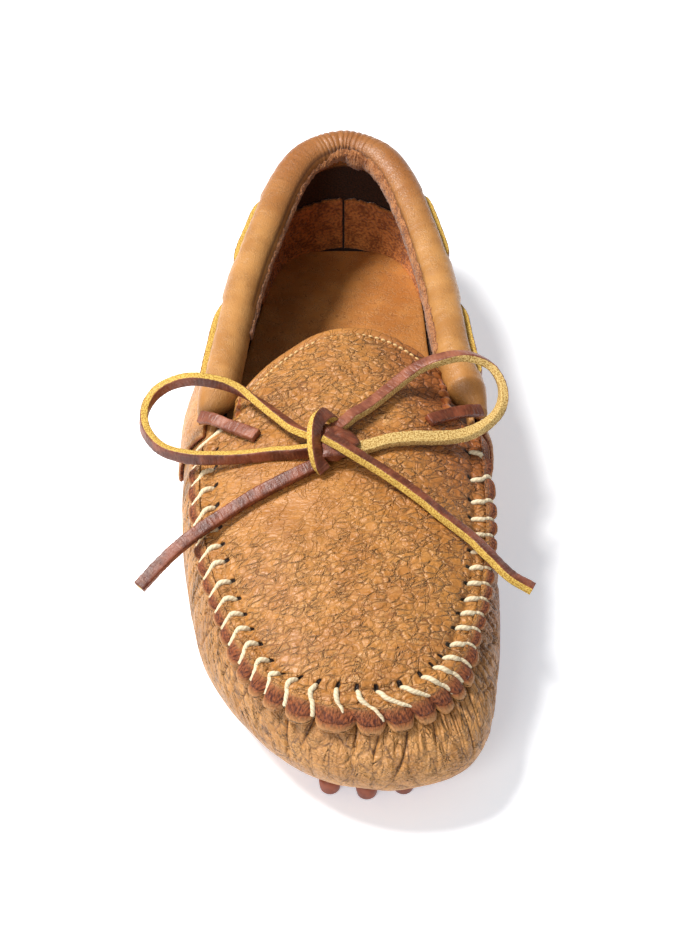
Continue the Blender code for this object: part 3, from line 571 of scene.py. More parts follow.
def pulled_leather(
    name, tints, grain_mm, grain_depth, shown, waves, turn=0.0, rough=0.42, stretch=(1.12, 0.95)
):
    """Waxed pull-up leather, drum tumbled: dark cracks with painted highlight rims beside them, and a low wax
    shine.

    tints are its light, middle, dark and crack colours; shown and waves say how much its cracks and
    its fine level wrinkles show. The mesh says where it is smooth, folded, pierced or cut raw, and
    where shade is painted: in creases, in sewing holes, inside the shoe and in broader darker patches.
    """
    material, tree, shader = new_finish(name)
    light, middle, dark, crack = tints
    smooth, folded, fold_across, fold_along, crease_shade, painted_shade, raw, inside, hole = (
        add(tree, "Attribute", out="Fac", attribute_name=key) for key in LEATHER_FIELDS
    )
    cells = network(tree, skin_space(tree, grain_mm, stretch, turn))
    small = network(tree, skin_space(tree, grain_mm * 0.45, (1.0, 1.0), turn))
    wave = wrinkles(tree, skin_space(tree, 1.5, (4.5, 1.0), np.radians(8)), 0.10)
    crossed = wrinkles(tree, skin_space(tree, 4.0, (1.0, 2.2), np.radians(40) + turn), 0.035)
    sizes = ((0.45, 3.0), (0.8, 4.0), (4.5, 2.0), (14.0, 3.0), (40.0, 2.0))
    pores, fuzz, worn, cloud, patch = (mottle(tree, size, detail) for size, detail in sizes)
    ways = add(tree, "CombineXYZ", {0: fold_across, 1: fold_along})
    wide_net, fine_net = (
        network(tree, add(tree, "Mapping", {"Vector": ways, "Scale": (1 / across, 1 / along, 1.0)}))
        for across, along in ((6.2, 17), (3.4, 7))
    )
    grained = mask(tree, smooth, start=1.0, end=0.12)
    seen = mask(tree, worn, 0.36, 0.62, 0.30, 1.0, [grained])
    tops = mask(tree, cells, 0.0, 0.060)
    rim_highlight = mask(tree, cells, 0.04, 0.08, times=[mask(tree, cells, 0.09, 0.20, 1.0, 0.0)])
    cracks = mask(tree, tops, start=1.0, end=0.0, times=[seen])
    fine = mask(tree, mask(tree, small, 0.0, 0.10), start=1.0, end=0.0, times=[seen])
    drawn = mask(tree, smooth, 0.0, 0.9, 0.15, 1.0, [mask(tree, smooth, 0.95, 1.0, 1.0, 0.0)])
    wave = add(tree, "Math", {0: wave, 1: drawn}, operation="MULTIPLY")
    fold_shade = mask(tree, wide_net, 0.0, 0.050, 1.0, 0.0, [folded, mask(tree, worn, 0.36, 0.60, 0.35, 1.0)])
    fine_fold_shade = mask(tree, fine_net, 0.0, 0.08, 1.0, 0.0, [folded, mask(tree, worn, 0.40, 0.64, 1.0, 0.15)])
    colour = paint(
        tree, middle,
        (light, mask(tree, cloud, 0.38, 0.62)),
        (dark, mask(tree, patch, 0.55, 0.80, 0.0, 0.45)),
        (dark, wave, 0.40 * waves),
        (dark, fine, 0.12 * shown),
        # Painted highlight beside the cracks
        ("#EBC48C", rim_highlight, seen, 0.62 * shown),
        (crack, cracks, 1.6 * shown),
        (crack, crossed, mask(tree, seen, end=0.35 * shown)),
        (light, mask(tree, pores, 0.60, 0.74, 0.0, 0.30)),
        # Painted shade: darker, redder leather where the mesh asks for it
        (paint(tree, "#4C200C", ("#8E4E22", tops)), painted_shade),
        # Painted shade in the fine and wide folds
        ("#6A3C1C", fine_fold_shade, 0.26),
        ("#48260F", fold_shade, 0.72),
        # Painted shade in the creases
        ("#3C1E0C", mask(tree, crease_shade, 0.30, 1.0, 0.0, 0.80)),
        (paint(tree, "#4E1E0C", ("#98522A", mask(tree, fuzz, 0.34, 0.66))), raw),
        # Painted shade inside the shoe: near black over the raw flesh colour
        (paint(tree, "#1E0E06", ("#44240F", mask(tree, fuzz, 0.40, 0.60))), inside),
        # Painted shade in the sewing holes
        ("#1E0B05", mask(tree, hole, 0.25, 0.6)),
    )
    wax = mask(tree, tops, start=rough + 0.2, end=rough)
    dull = add(tree, "Math", {0: wax, 1: mask(tree, raw, end=0.4)}, operation="ADD")
    whole = mask(tree, raw, 0.0, 0.5, 1.0, 0.0)
    normal = hills(tree, (
        (mask(tree, wide_net, 0.0, 0.30, times=[folded]), 0.0012),
        (mask(tree, fine_net, 0.0, 0.24, times=[folded]), 0.0003),
        (mask(tree, cells, -0.04, 0.22, times=[whole, seen]), grain_depth),
        (mask(tree, crossed, start=1.0, end=0.0), grain_depth * 0.3),
        (mask(tree, fine, start=1.0, end=0.0), grain_depth * 0.10),
        (mask(tree, wave, start=1.0, end=0.0), 0.00022 * waves),
        (pores, 0.00010),
        (add(tree, "Math", {0: fuzz, 1: raw}, operation="MULTIPLY"), 0.0004),
    ))
    fill(tree, shader, {"Base Color": colour, "Roughness": dull, "IOR": 1.5, "Normal": normal})
    fill(tree, shader, {"Coat Weight": 0.05, "Coat Roughness": 0.35})
    return material


def suede(name, light, dark, nap_mm, depth):
    """Flesh side of the hide, napped: dull, mottled and a little bright at grazing angles."""
    material, tree, shader = new_finish(name)
    nap = mottle(tree, nap_mm, 5.0)
    part = add(tree, "Math", {0: nap, 1: 0.6}, operation="MULTIPLY")
    mixed = add(tree, "Math", {0: mottle(tree, 6.0), 1: 0.4, 2: part}, operation="MULTIPLY_ADD")
    colour = paint(tree, dark, (light, mask(tree, mixed, 0.38, 0.62)))
    fill(tree, shader, {"Base Color": colour, "Roughness": 0.95, "Normal": hills(tree, [(nap, depth)])})
    fill(tree, shader, {"Sheen Weight": 0.25, "Sheen Roughness": 0.5, "Specular IOR Level": 0.2})
    return material


def rawhide(name, grain_light, grain_dark, flesh_light, flesh_dark):
    """Oiled rawhide cut into lace: a brown face with fine cross wrinkles, the rest raw yellow hide."""
    material, tree, shader = new_finish(name)
    wrinkle = mottle(tree, 0.9, 2.0, (1.0, 4.0))
    specks = mottle(tree, 0.55)
    brown = paint(
        tree, grain_dark,
        (grain_light, mask(tree, mottle(tree, 7.0), 0.38, 0.62)),
        # Painted highlight on the crests of the cross wrinkles
        ("#A87150", mask(tree, wrinkle, 0.50, 0.70, 0.0, 0.25)),
    )
    yellow = paint(
        tree, flesh_dark,
        (flesh_light, mask(tree, specks, 0.40, 0.60)),
        ("#6A4A12", mask(tree, specks, 0.60, 0.70, 0.0, 0.55)),
    )
    flesh = add(tree, "Attribute", out="Fac", attribute_name="flesh")
    fray = add(tree, "Math", {0: specks, 1: 0.5}, operation="SUBTRACT")
    ragged = add(tree, "Math", {0: fray, 1: 0.5, 2: flesh}, operation="MULTIPLY_ADD")
    cut = mask(tree, ragged, 0.42, 0.58)
    normal = hills(tree, [(wrinkle, 0.00025), (specks, 0.00015)])
    fill(tree, shader, {"Base Color": paint(tree, brown, (yellow, cut)), "Normal": normal})
    fill(tree, shader, {"Roughness": mask(tree, cut, start=0.42, end=0.9)})
    fill(tree, shader, {"Coat Weight": 0.10, "Coat Roughness": 0.35})
    return material


def linen_thread(name, light, dark):
    """Waxed linen thread: pale, twisted, darker between the plies."""
    material, tree, shader = new_finish(name)
    space = skin_space(tree, 1.1, (1.0, 1.0), np.radians(32))
    ply = add(tree, "TexWave", {"Vector": space, "Scale": 0.32, "Distortion": 0.6}, out="Fac")
    hair = mottle(tree, 0.3)
    between_plies = mask(tree, ply, 0.0, 0.5, 0.35, 0.0)
    colour = paint(tree, light, (dark, between_plies), (dark, mask(tree, hair, 0.55, 0.75, 0.0, 0.5)))
    normal = hills(tree, [(ply, 0.00007), (hair, 0.00012)])
    fill(tree, shader, {"Base Color": colour, "Roughness": 0.75, "Normal": normal})
    return material


def moulded_rubber(name, light, dark):
    """Nitrile rubber, moulded: a satin skin with faint mould bloom."""
    material, tree, shader = new_finish(name)
    bloom = mottle(tree, 9.0, 4.0)
    colour = paint(tree, dark, (light, mask(tree, bloom, 0.35, 0.65)))
    normal = hills(tree, [(mottle(tree, 0.6, 2.0), 0.00005)])
    satin = mask(tree, bloom, 0.3, 0.7, 0.38, 0.52)
    fill(tree, shader, {"Base Color": colour, "Roughness": satin, "Normal": normal})
    return material


# Stitches, counted along the seam


def beat_at(place):
    """Whole numbers at the sewing holes, and the parts between them."""
    return np.interp(place, STITCHES, np.arange(len(STITCHES)), left=-0.5, right=len(STITCHES) - 0.5)


def place_of(beat):
    """Place of a count of stitches, the reverse of beat_at."""
    return np.interp(beat, np.arange(len(STITCHES)), STITCHES)


def slant_at(place):
    """How far the threads slant at a place, in stitches."""
    return np.interp(place, SLANT_PLACES, SLANTS)


def slant_before(left):
    """Share of its slant that a thread has reached on the plug, some mm before the edge."""
    return SLANT_START * np.clip((3.6 - left) / 3.6, 0, 1)


def slant_over(reach):
    """Share of its slant that a thread has reached over the ridge."""
    return SLANT_START + (1 - SLANT_START) * np.minimum(reach / 0.75, 1.0)


def swell(beat):
    """Leather between two stitches stands proud: 0 under a thread, 1 in the middle."""
    part = beat - np.floor(beat)
    inside = (beat > -0.4) & (beat < len(STITCHES) - 0.6)
    return np.where(inside, 1 - np.abs(2 * part - 1) ** 3.5, 1.0)


def thread_shade(beat):
    """Painted shade beside each thread."""
    return 0.85 * (1 - swell(beat)) ** 1.5


def rolled(place):
    """How far the ridge lies over: 1 round the toe, 0 along the sides."""
    return ease((place - 9.6) / 1.8) * ease((17.2 - place) / 1.8)


# Section of the ridge, in mm out of and above the top edge of the wall, standing and lying over.
# The plug's part starts on the plug beside the sewing holes; its last points run down inside the seam.
PLUG_STANDS = (
    (0.3, 6.1), (1.0, 6.1), (1.8, 5.8), (2.7, 5.3), (3.4, 4.9),
    (4.1, 4.3), (4.9, 3.3), (3.4, 2.6), (0.4, 1.2),
)
PLUG_LIES = (
    (0.3, 5.9), (1.2, 5.6), (2.1, 5.2), (3.0, 4.7), (3.7, 4.1),
    (5.5, 2.8), (6.9, 1.0), (5.2, 0.7), (1.2, 0.8),
)
PLUG_RAW = (0, 0, 0, 0, 0.75, 1, 1, 1, 1)
WRAP_STANDS = (
    (0.0, 0.0), (1.6, 0.3), (3.4, 1.0), (5.0, 1.8), (5.6, 2.7),
    (5.0, 3.5), (3.6, 3.0), (-0.6, 0.6), (-1.9, -1.0),
)
WRAP_LIES = (
    (0.3, -0.1), (3.4, -1.0), (6.2, -1.9), (7.9, -2.2), (8.3, -0.8),
    (6.9, 1.0), (5.4, 0.7), (0.6, 0.4), (-1.9, -1.0),
)
WRAP_RAW = (0, 0, 0, 0, 0.2, 1, 1, 1, 1)
# Top of the wall where it isn't sewn, as a plain edge 2 mm thick
WRAP_PLAIN = (
    (0.0, 0.0), (0.0, 1.5), (0.0, 3.0), (0.0, 4.2), (-0.3, 5.2),
    (-1.7, 5.2), (-2.0, 4.0), (-2.0, 2.0), (-2.0, 0.0),
)
# Each thread draws the leather towards this point of the section, by this share
HEART = np.array([0.4, 1.6])
PINCH = 0.44


def ridge_points(place, stands, lies, steps):
    """Rows of points over the ridge, drawn in where a thread crosses it."""
    reaches = np.linspace(0, 1, steps)
    found = []
    roll = rolled(place)[:, None]
    for reach in reaches:
        standing, lying = (catmull(section, reach * (len(stands) - 1)) for section in (stands, lies))
        spot = standing * (1 - roll) + lying * roll
        slanted = 1.0 if stands is WRAP_STANDS else slant_over(reach)
        beat = beat_at(place) + slant_at(place) * slanted
        drawn = PINCH * (1 - swell(beat)[:, None]) * ease(reach * 4)
        found.append(spot + (HEART - spot) * drawn)
    return reaches, found


def round_shoe(line):
    """Places from the heel to the toe, and the same ones back along the outer side."""
    inner = np.append(line, float(TOE))
    return np.concatenate([inner, COUNT - inner[-2::-1]])


# The upper


def fold_ways(place, height, run):
    """Lengths across and along the folds, in mm: down the wall, leaning towards the toe on the outer side."""
    lean = 28.6 * ease((place - 14.0) / 2.5)
    return run / MM - (height - 1.3) * lean, 30.0 * height + 40


def wrap_dents(place, height, run):
    """How far the wall of the upper lies in or out, in mm, and how much shade is painted in its creases.

    Three gathers fan out under each stitch. Below them run winding folds, deeper on the inner side.
    """
    beat = beat_at(place) + slant_at(place)
    near_toe = lip_share(place)
    down = 2 - height
    dent = np.zeros(len(place))
    dark = np.zeros(len(place))
    rng = np.random.default_rng(11)
    for k in range(len(STITCHES)):
        for part, deep, long in ((0.0, 1.0, 1.1), (0.30, 0.5, 0.7), (0.66, 0.6, 0.8)):
            start = k + part + rng.uniform(-0.08, 0.08)
            lean = rng.uniform(-0.5, 0.5) + 0.35 * np.sign(13.3 - place)
            bend = rng.uniform(-0.3, 0.3)
            reach = long * rng.uniform(0.75, 1.25)
            middle = start + lean * down + bend * down**2
            off = (beat - middle) * STITCH_PITCH
            width = 0.34 + 0.16 * down
            trough = np.exp(-((off / width) ** 2)) * ease((reach - down) / 0.7) * deep
            dent -= trough * (1.1 - 0.35 * down)
            dark = np.maximum(dark, trough**1.6)
    u, v = fold_ways(place, height, run)
    wide = creases(u / 6.5, v / 15 + 3, 21, 0.10)
    fine = creases(u / 3.4, v / 10, 31, 0.14)
    inner_side = ease((11.4 - place) / 1.4)
    band = ease((height - 0.50) / 0.5) * near_toe
    low_band = ease((height - 0.15) / 0.5) * near_toe
    dent -= band * wide * (0.20 + 0.45 * inner_side)
    dark = np.maximum(dark, band * wide * (0.25 + 0.45 * inner_side))
    dent -= low_band * fine * (0.04 + 0.40 * inner_side)
    dark = np.maximum(dark, low_band * fine * (0.05 + 0.6 * inner_side))
    dent += 0.5 * swell(beat) * ease((height - 1.55) / 0.4) * near_toe
    dent += 0.25 * value_noise(u / 9, v / 14, 51) * near_toe
    round_toe = ease((place - 10.4) / 1.6) * ease((17.0 - place) / 1.8)
    dent -= TOE_TUCK * round_toe * ease(height / 0.3) * ease((1.95 - height) / 0.8)
    return dent * ease((2.02 - height) / 0.08), dark


def make_wrap():
    """The piece under and round the foot: floor, gathered wall and its half of the ridge."""
    places = round_shoe(np.concatenate([np.arange(0, 5.8, 0.06), np.arange(5.8, TOE, 0.0172)]))
    columns = len(places)
    sewn = lip_share(places)
    run = run_length(wall(places, 1.0))
    toe_run = run - np.interp(TOE, places, run)
    heights = np.concatenate([np.linspace(0, 1, 17), np.linspace(1, 2, 40)[1:]])
    rows, skins, crease_shade, raw, inside = [], [], [], [], []

    def keep(points, up, dark=0.0, cut=0.0, flesh=0.0):
        rows.append(points)
        skins.append(with_last(run, up))
        for store, value in ((crease_shade, dark), (raw, cut), (inside, flesh)):
            store.append(np.broadcast_to(value, columns))

    edge = wall(places, 0.0)
    middle = (edge + edge[::-1]) / 2
    middle[:, 2] -= FLOOR_SAG
    for share in (0.0, 0.3, 0.6, 0.85):
        keep(middle + (edge - middle) * share, -0.040 * (1 - share))
    for height in heights:
        base = wall(places, height)
        dent, dark = wrap_dents(places, np.full(columns, height), toe_run)
        keep(base + wall_way(places, height) * (dent * MM)[:, None], SKIN_HEIGHT * height, dark)
    shade = thread_shade(beat_at(places) + slant_at(places))
    for reach, spot in zip(*ridge_points(places, WRAP_STANDS, WRAP_LIES, 19)):
        step = reach * (len(WRAP_PLAIN) - 1)
        spot = spot * sewn[:, None] + catmull(WRAP_PLAIN, step) * (1 - sewn)[:, None]
        cut = np.interp(step, range(len(WRAP_RAW)), WRAP_RAW) * sewn
        # Painted shade in the groove at the foot of the ridge and beside each thread
        groove = 1.2 * np.exp(-((reach - 0.02) / 0.05) ** 2)
        under = np.clip(np.maximum(groove, shade) * sewn, 0, 1)
        keep(over_seam(places, spot[:, 0] * MM, spot[:, 1] * MM), 2 * SKIN_HEIGHT + 0.012 * reach, under, cut)
    # The inside of the wall and floor: raw, under painted shade
    for height in (1.9, 1.6, 1.3, 1.0, 0.7, 0.4, 0.15, 0.0):
        clear = (TOE_TUCK + 1.0) * MM * sewn * ease(height / 0.3)
        keep(wall_face(places, height, -LEATHER - clear), 0.080 + SKIN_HEIGHT * (2 - height), 0.0, 1.0, 1.0)
    inner = wall_face(places, 0.0, -LEATHER)
    centre = (inner + inner[::-1]) / 2
    for share in (0.7, 0.35, 0.0):
        keep(centre + (inner - centre) * share, 0.150 + 0.03 * (1 - share), 0.0, 1.0, 1.0)
    raw, inside = np.array(raw), np.array(inside)
    # Painted shade on the inner side of the wall, fading towards the quarter
    painted_side_shade = 0.62 * ease((10.6 - places) / 2.0) * (0.35 + 0.65 * ease((places - EAR_INNER - 0.4) / 2.2))
    levels = np.concatenate([np.zeros(4), heights, np.full(len(rows) - 4 - len(heights), 2.0)])[:, None]
    across, along = fold_ways(places, levels, toe_run)
    shown = np.clip(0.35 + 0.65 * ease((levels - 0.35) / 0.9) + 0.5 * ease((11.8 - places) / 1.5), 0, 1)
    fields = {
        "crease_shade": crease_shade, "raw": raw, "inside": inside, "painted_shade": painted_side_shade * sewn * (raw < 0.5),
        "fold_across": across, "fold_along": along, "folded": shown * sewn * (inside < 0.5) * (raw < 0.2),
    }
    item = grid_mesh("wrap", rows, skins, fields, ring=True)
    tints = ("#C68E50", "#B67E42", "#925A26", "#5A2F0F")
    leather = pulled_leather("waxed_pull_up_leather", tints, 2.4, 0.00026, 0.24, 0.5)
    dress(item, leather, ["upper"])


def make_plug():
    """Top piece of the toe and instep with its tongue, grained, its edge rolled over the seam."""
    along_steps = np.concatenate([np.linspace(1, 0.8, 46)[:-1], np.linspace(0.8, 0, 330)])
    across_steps = np.linspace(0, 1, 150)[1:-1]
    outer = np.column_stack([np.zeros(len(along_steps)), along_steps])
    toe = np.column_stack([across_steps, np.zeros(len(across_steps))])
    inner = np.column_stack([np.ones(len(along_steps)), along_steps[::-1]])
    tongue = np.column_stack([across_steps[::-1], np.ones(len(across_steps))])
    border = np.vstack([outer, toe, inner, tongue, outer[:1]])
    place = np.concatenate([
        side_place(outer[:, 1], TOE + TOE_CORNER, TOE + SIDE_CORNER, TONGUE_OUTER),
        TOE + TOE_CORNER - 2 * TOE_CORNER * toe[:, 0],
        side_place(inner[:, 1], TOE - TOE_CORNER, TOE - SIDE_CORNER, TONGUE_INNER),
        np.zeros(len(tongue)),
        [TONGUE_OUTER],
    ])
    on_tongue = np.concatenate([np.zeros(len(border) - len(tongue) - 1), np.ones(len(tongue)), [0]])
    spine = np.column_stack([np.full(len(border), 0.5), np.clip(border[:, 1], 0.22, 0.80)])
    shares = 1 - (1 - np.linspace(0, 1, 58)) ** 1.15
    rows, skins, lefts, crease_shade, raw, painted_shade, holes = [], [], [], [], [], [], []

    def grain_side(share):
        """Spots a share of the way from the spine to the border, flesh side of the leather, way out of it."""
        spot = spine + (border - spine) * share
        across, along = spot[:, 0], spot[:, 1]
        flesh = plug_surface(across, along)
        step = 0.01
        wide = plug_surface(np.clip(across + step, 0, 1), along)
        wide -= plug_surface(np.clip(across - step, 0, 1), along)
        long = plug_surface(across, np.clip(along + step, 0, 1))
        long -= plug_surface(across, np.clip(along - step, 0, 1))
        way = np.cross(wide, long)
        way /= np.linalg.norm(way, axis=1)[:, None]
        way *= np.where(way[:, 2] < 0, -1.0, 1.0)[:, None]
        return spot, flesh, way

    def keep(points, dark, cut, shade_share, pierced, skin=None):
        rows.append(points)
        skins.append(points[:, :2] if skin is None else skin)
        for store, value in ((crease_shade, dark), (raw, cut), (painted_shade, shade_share), (holes, pierced)):
            store.append(np.broadcast_to(value, len(border)))

    flesh_edge, way_edge = grain_side(1.0)[1:]
    sewn = lip_share(place) * (1 - on_tongue)
    for share in shares:
        spot, flesh, way = grain_side(share)
        top = flesh + way * LEATHER
        dent, dark = plug_dents(top[:, 0] / MM, top[:, 1] / MM, spot)
        left = np.linalg.norm(flesh_edge - flesh, axis=1) / MM
        lefts.append(left)
        hem = on_tongue * (0.75 * ease((3.4 - left) / 0.6) - 0.75 * np.exp(-(((left - HEM) / 0.40) ** 2)))
        beat = beat_at(place) + slant_at(place) * slant_before(left)
        pull = 1 - swell(beat)
        dip = -(0.40 + 0.40 * pull) * np.exp(-(((left - 3.4) / 1.0) ** 2))
        dip += (1.5 - 0.7 * pull) * ease((3.2 - left) / 2.6)
        off = (beat - np.round(beat)) * STITCH_PITCH
        hole = np.exp(-((off / 0.80) ** 4) - (((left - HOLE_IN - 0.5) / 1.35) ** 4)) * sewn * (beat > -0.4)
        hole *= beat < len(STITCHES) - 0.6
        dip = dip * sewn - 0.9 * hole
        # Painted shade along the hem of the tongue
        dark = dark + 0.85 * on_tongue * np.exp(-(((left - HEM) / 0.38) ** 2))
        keep(top + way * ((dent + hem + dip) * MM)[:, None], dark, 0.0, painted_shade_share(spot), hole)
    base, base_skin = rows[-1], skins[-1]
    surface = (np.array(rows), np.array(lefts), np.where(on_tongue > 0.5, -9.0, place))
    ridge_shares, spots = ridge_points(place, PLUG_STANDS, PLUG_LIES, 20)
    plain_out = np.cross(np.gradient(flesh_edge, axis=0), way_edge)
    plain_out /= np.linalg.norm(plain_out, axis=1)[:, None]
    centre = np.array([0.0, -0.03, 0.05])
    plain_out *= np.where(np.sum(plain_out * (flesh_edge - centre), axis=1) < 0, -1.0, 1.0)[:, None]
    start = base - over_seam(place, spots[0][:, 0] * MM, spots[0][:, 1] * MM)
    for reach, spot in zip(ridge_shares[1:], spots[1:]):
        ridge_spot = over_seam(place, spot[:, 0] * MM, spot[:, 1] * MM) + start * (1 - ease(reach * 4))
        turn = reach * np.pi
        round_spot = (base + flesh_edge) / 2 + (base - flesh_edge) / 2 * np.cos(turn)
        round_spot = round_spot + plain_out * (LEATHER / 2 * np.sin(turn))
        points = ridge_spot * sewn[:, None] + round_spot * (1 - sewn)[:, None]
        shade = thread_shade(beat_at(place) + slant_at(place) * slant_over(reach)) * sewn
        cut = np.interp(reach * (len(PLUG_RAW) - 1), range(len(PLUG_RAW)), PLUG_RAW) * sewn
        cut = np.maximum(cut, (1 - sewn) * (reach > 0.8) * 0.7)
        keep(points, shade, cut, painted_shade[-1], 0.0, base_skin + outward(place, seam) * 0.011 * reach)
    for share in (1.0, 0.97, 0.9, 0.75, 0.55, 0.3, 0.0):
        keep(grain_side(share)[1], 0.0, 1.0, 0.0, 0.0)
    flat = np.array(rows)
    smooth = smooth_share(flat[:, :, 0] / MM, flat[:, :, 1] / MM)
    smooth[:len(lefts)] = np.maximum(smooth[:len(lefts)], on_tongue * ease((3.2 - np.array(lefts)) / 0.5))
    fields = {"crease_shade": crease_shade, "raw": raw, "painted_shade": painted_shade, "hole": holes, "smooth": smooth}
    item = grid_mesh("plug_and_tongue", rows, skins, fields, ring=True)
    tints = ("#B87C3A", "#AC7032", "#864E1C", "#5C300E")
    grained = pulled_leather(
        "waxed_tumbled_leather", tints, 2.9, 0.00080, 0.42, 0.45, np.radians(-14), stretch=(1.45, 0.80),
    )
    dress(item, grained, ["plug"])
    return surface


def plug_dents(x, y, spot):
    """Soft dips of the plug, in mm: a hollow behind the bow, long creases on the inner side, dimples; and
    painted shade in those creases.
    """
    across, along = spot[:, 0], spot[:, 1]
    dent = 0.5 * value_noise(x / 17, y / 17, 61) + 0.25 * value_noise(x / 7, y / 6, 62)
    lengthways = creases((x * 0.5 + y * 0.86) / 9, (x * 0.86 - y * 0.5) / 26, 63, 0.10)
    strong = ease((across - 0.55) / 0.25) * ease((along - 0.45) / 0.2)
    dent -= strong * lengthways * 0.55
    bulge = np.exp(-(((x - 24) / 7) ** 2 + ((y + 14) / 4.5) ** 2))
    bulge += np.exp(-(((x + 22) / 7) ** 2 + ((y + 24) / 4) ** 2))
    dent += 1.1 * bulge
    return dent * ease((1 - np.abs(2 * across - 1)) / 0.06), strong * lengthways * 0.4


def smooth_share(x, y):
    """Where the plug is drawn flat over the instep its pebbles give way to fine level wrinkles."""
    return 0.85 * ease(1.25 - np.hypot((x + 14) / 30, (y + 44) / 30))


def painted_shade_share(spot):
    """Painted shade on the inner side near the ear: darker, redder leather."""
    across, along = spot[:, 0], spot[:, 1]
    return 0.85 * ease((across - 0.56) / 0.36) * ease((along - 0.32) / 0.35)


def make_quarter():
    """Outer leather of the heel half, raw at its front edges."""
    first, last = EAR_OUTER + 0.12, COUNT + EAR_INNER + 1 / 3
    places = np.linspace(first, last, 520)
    front = np.minimum(places - first, last - places)
    low = QUARTER_LOW + QUARTER_SWEEP * np.exp(-((front / 1.3) ** 2))
    run = run_length(wall(places, 1.0))
    from_end = np.minimum(run, run[-1] - run) / MM
    body = rounded_end(from_end, 0.8)
    near_inner = (run[-1] - run) / MM
    lifted = 1.5 * ease((14 - near_inner) / 14)
    rows, skins, crease_shade, raw = [], [], [], []
    profile = [(share, 1.0) for share in np.linspace(0, 1, 46)] + [(1.0, k / 4) for k in (3, 2, 1)]
    profile += [(share, 0.0) for share in np.linspace(1, 0, 8)] + [(0.0, k / 4) for k in (1, 2, 3, 4)]
    for share, thick in profile:
        height = low + (QUARTER_TOP - low) * share
        dent = 0.30 * value_noise(run / MM / 11, height * 4, 71)
        dent += 0.12 * value_noise(run / MM / 4, height * 9, 72)
        lines = creases(run / MM / 9, height * 1.8, 73, 0.08) * (0.3 + 0.7 * ease((height - 1.2) / 0.5))
        dent = (dent - 0.35 * lines) * thick
        off = OVERLAY_GAP + QUARTER_LEATHER / 2 + ((thick - 0.5) * QUARTER_LEATHER + dent * MM) * body
        rows.append(wall_face(places, height, off + lifted * MM * ease((height - 0.9) / 0.8)))
        skins.append(np.column_stack([run, SKIN_HEIGHT * height + 0.004 * (1 - thick)]))
        # Painted shade in the creases
        crease_shade.append(lines * 0.5 * thick)
        raw.append(np.maximum(1 - thick, body < 0.9))
    # Painted shade near the inner front edge, easing into the painted shade of the wall
    fields = {"crease_shade": crease_shade, "raw": raw, "painted_shade": 0.22 * ease(1 - near_inner / 32)}
    item = grid_mesh("quarter_panel", rows, skins, fields, wrap_rows=True)
    tints = ("#CB9152", "#B67A3B", "#965C26", "#6A3A16")
    leather = pulled_leather("waxed_side_leather", tints, 2.4, 0.00028, 0.35, 0.8)
    dress(item, leather, ["quarter"])


def pass_dip(places):
    """1 where the lace lies in the outside of the collar, easing out beyond its ends."""
    share = np.zeros_like(places)
    for first, last in LACE_PASSES.values():
        for turn in (0, COUNT):
            inside = np.minimum(places - (first + turn) + 0.16, (last + turn) + 0.16 - places)
            share = np.maximum(share, ease(inside / 0.14))
    return share


def slit(places):
    """1 at the slits where the lace goes through the collar."""
    share = np.zeros_like(places)
    for ends in LACE_PASSES.values():
        for end in ends:
            for turn in (0, COUNT):
                share = np.maximum(share, np.exp(-(((places - end - turn) / 0.055) ** 2)))
    return share


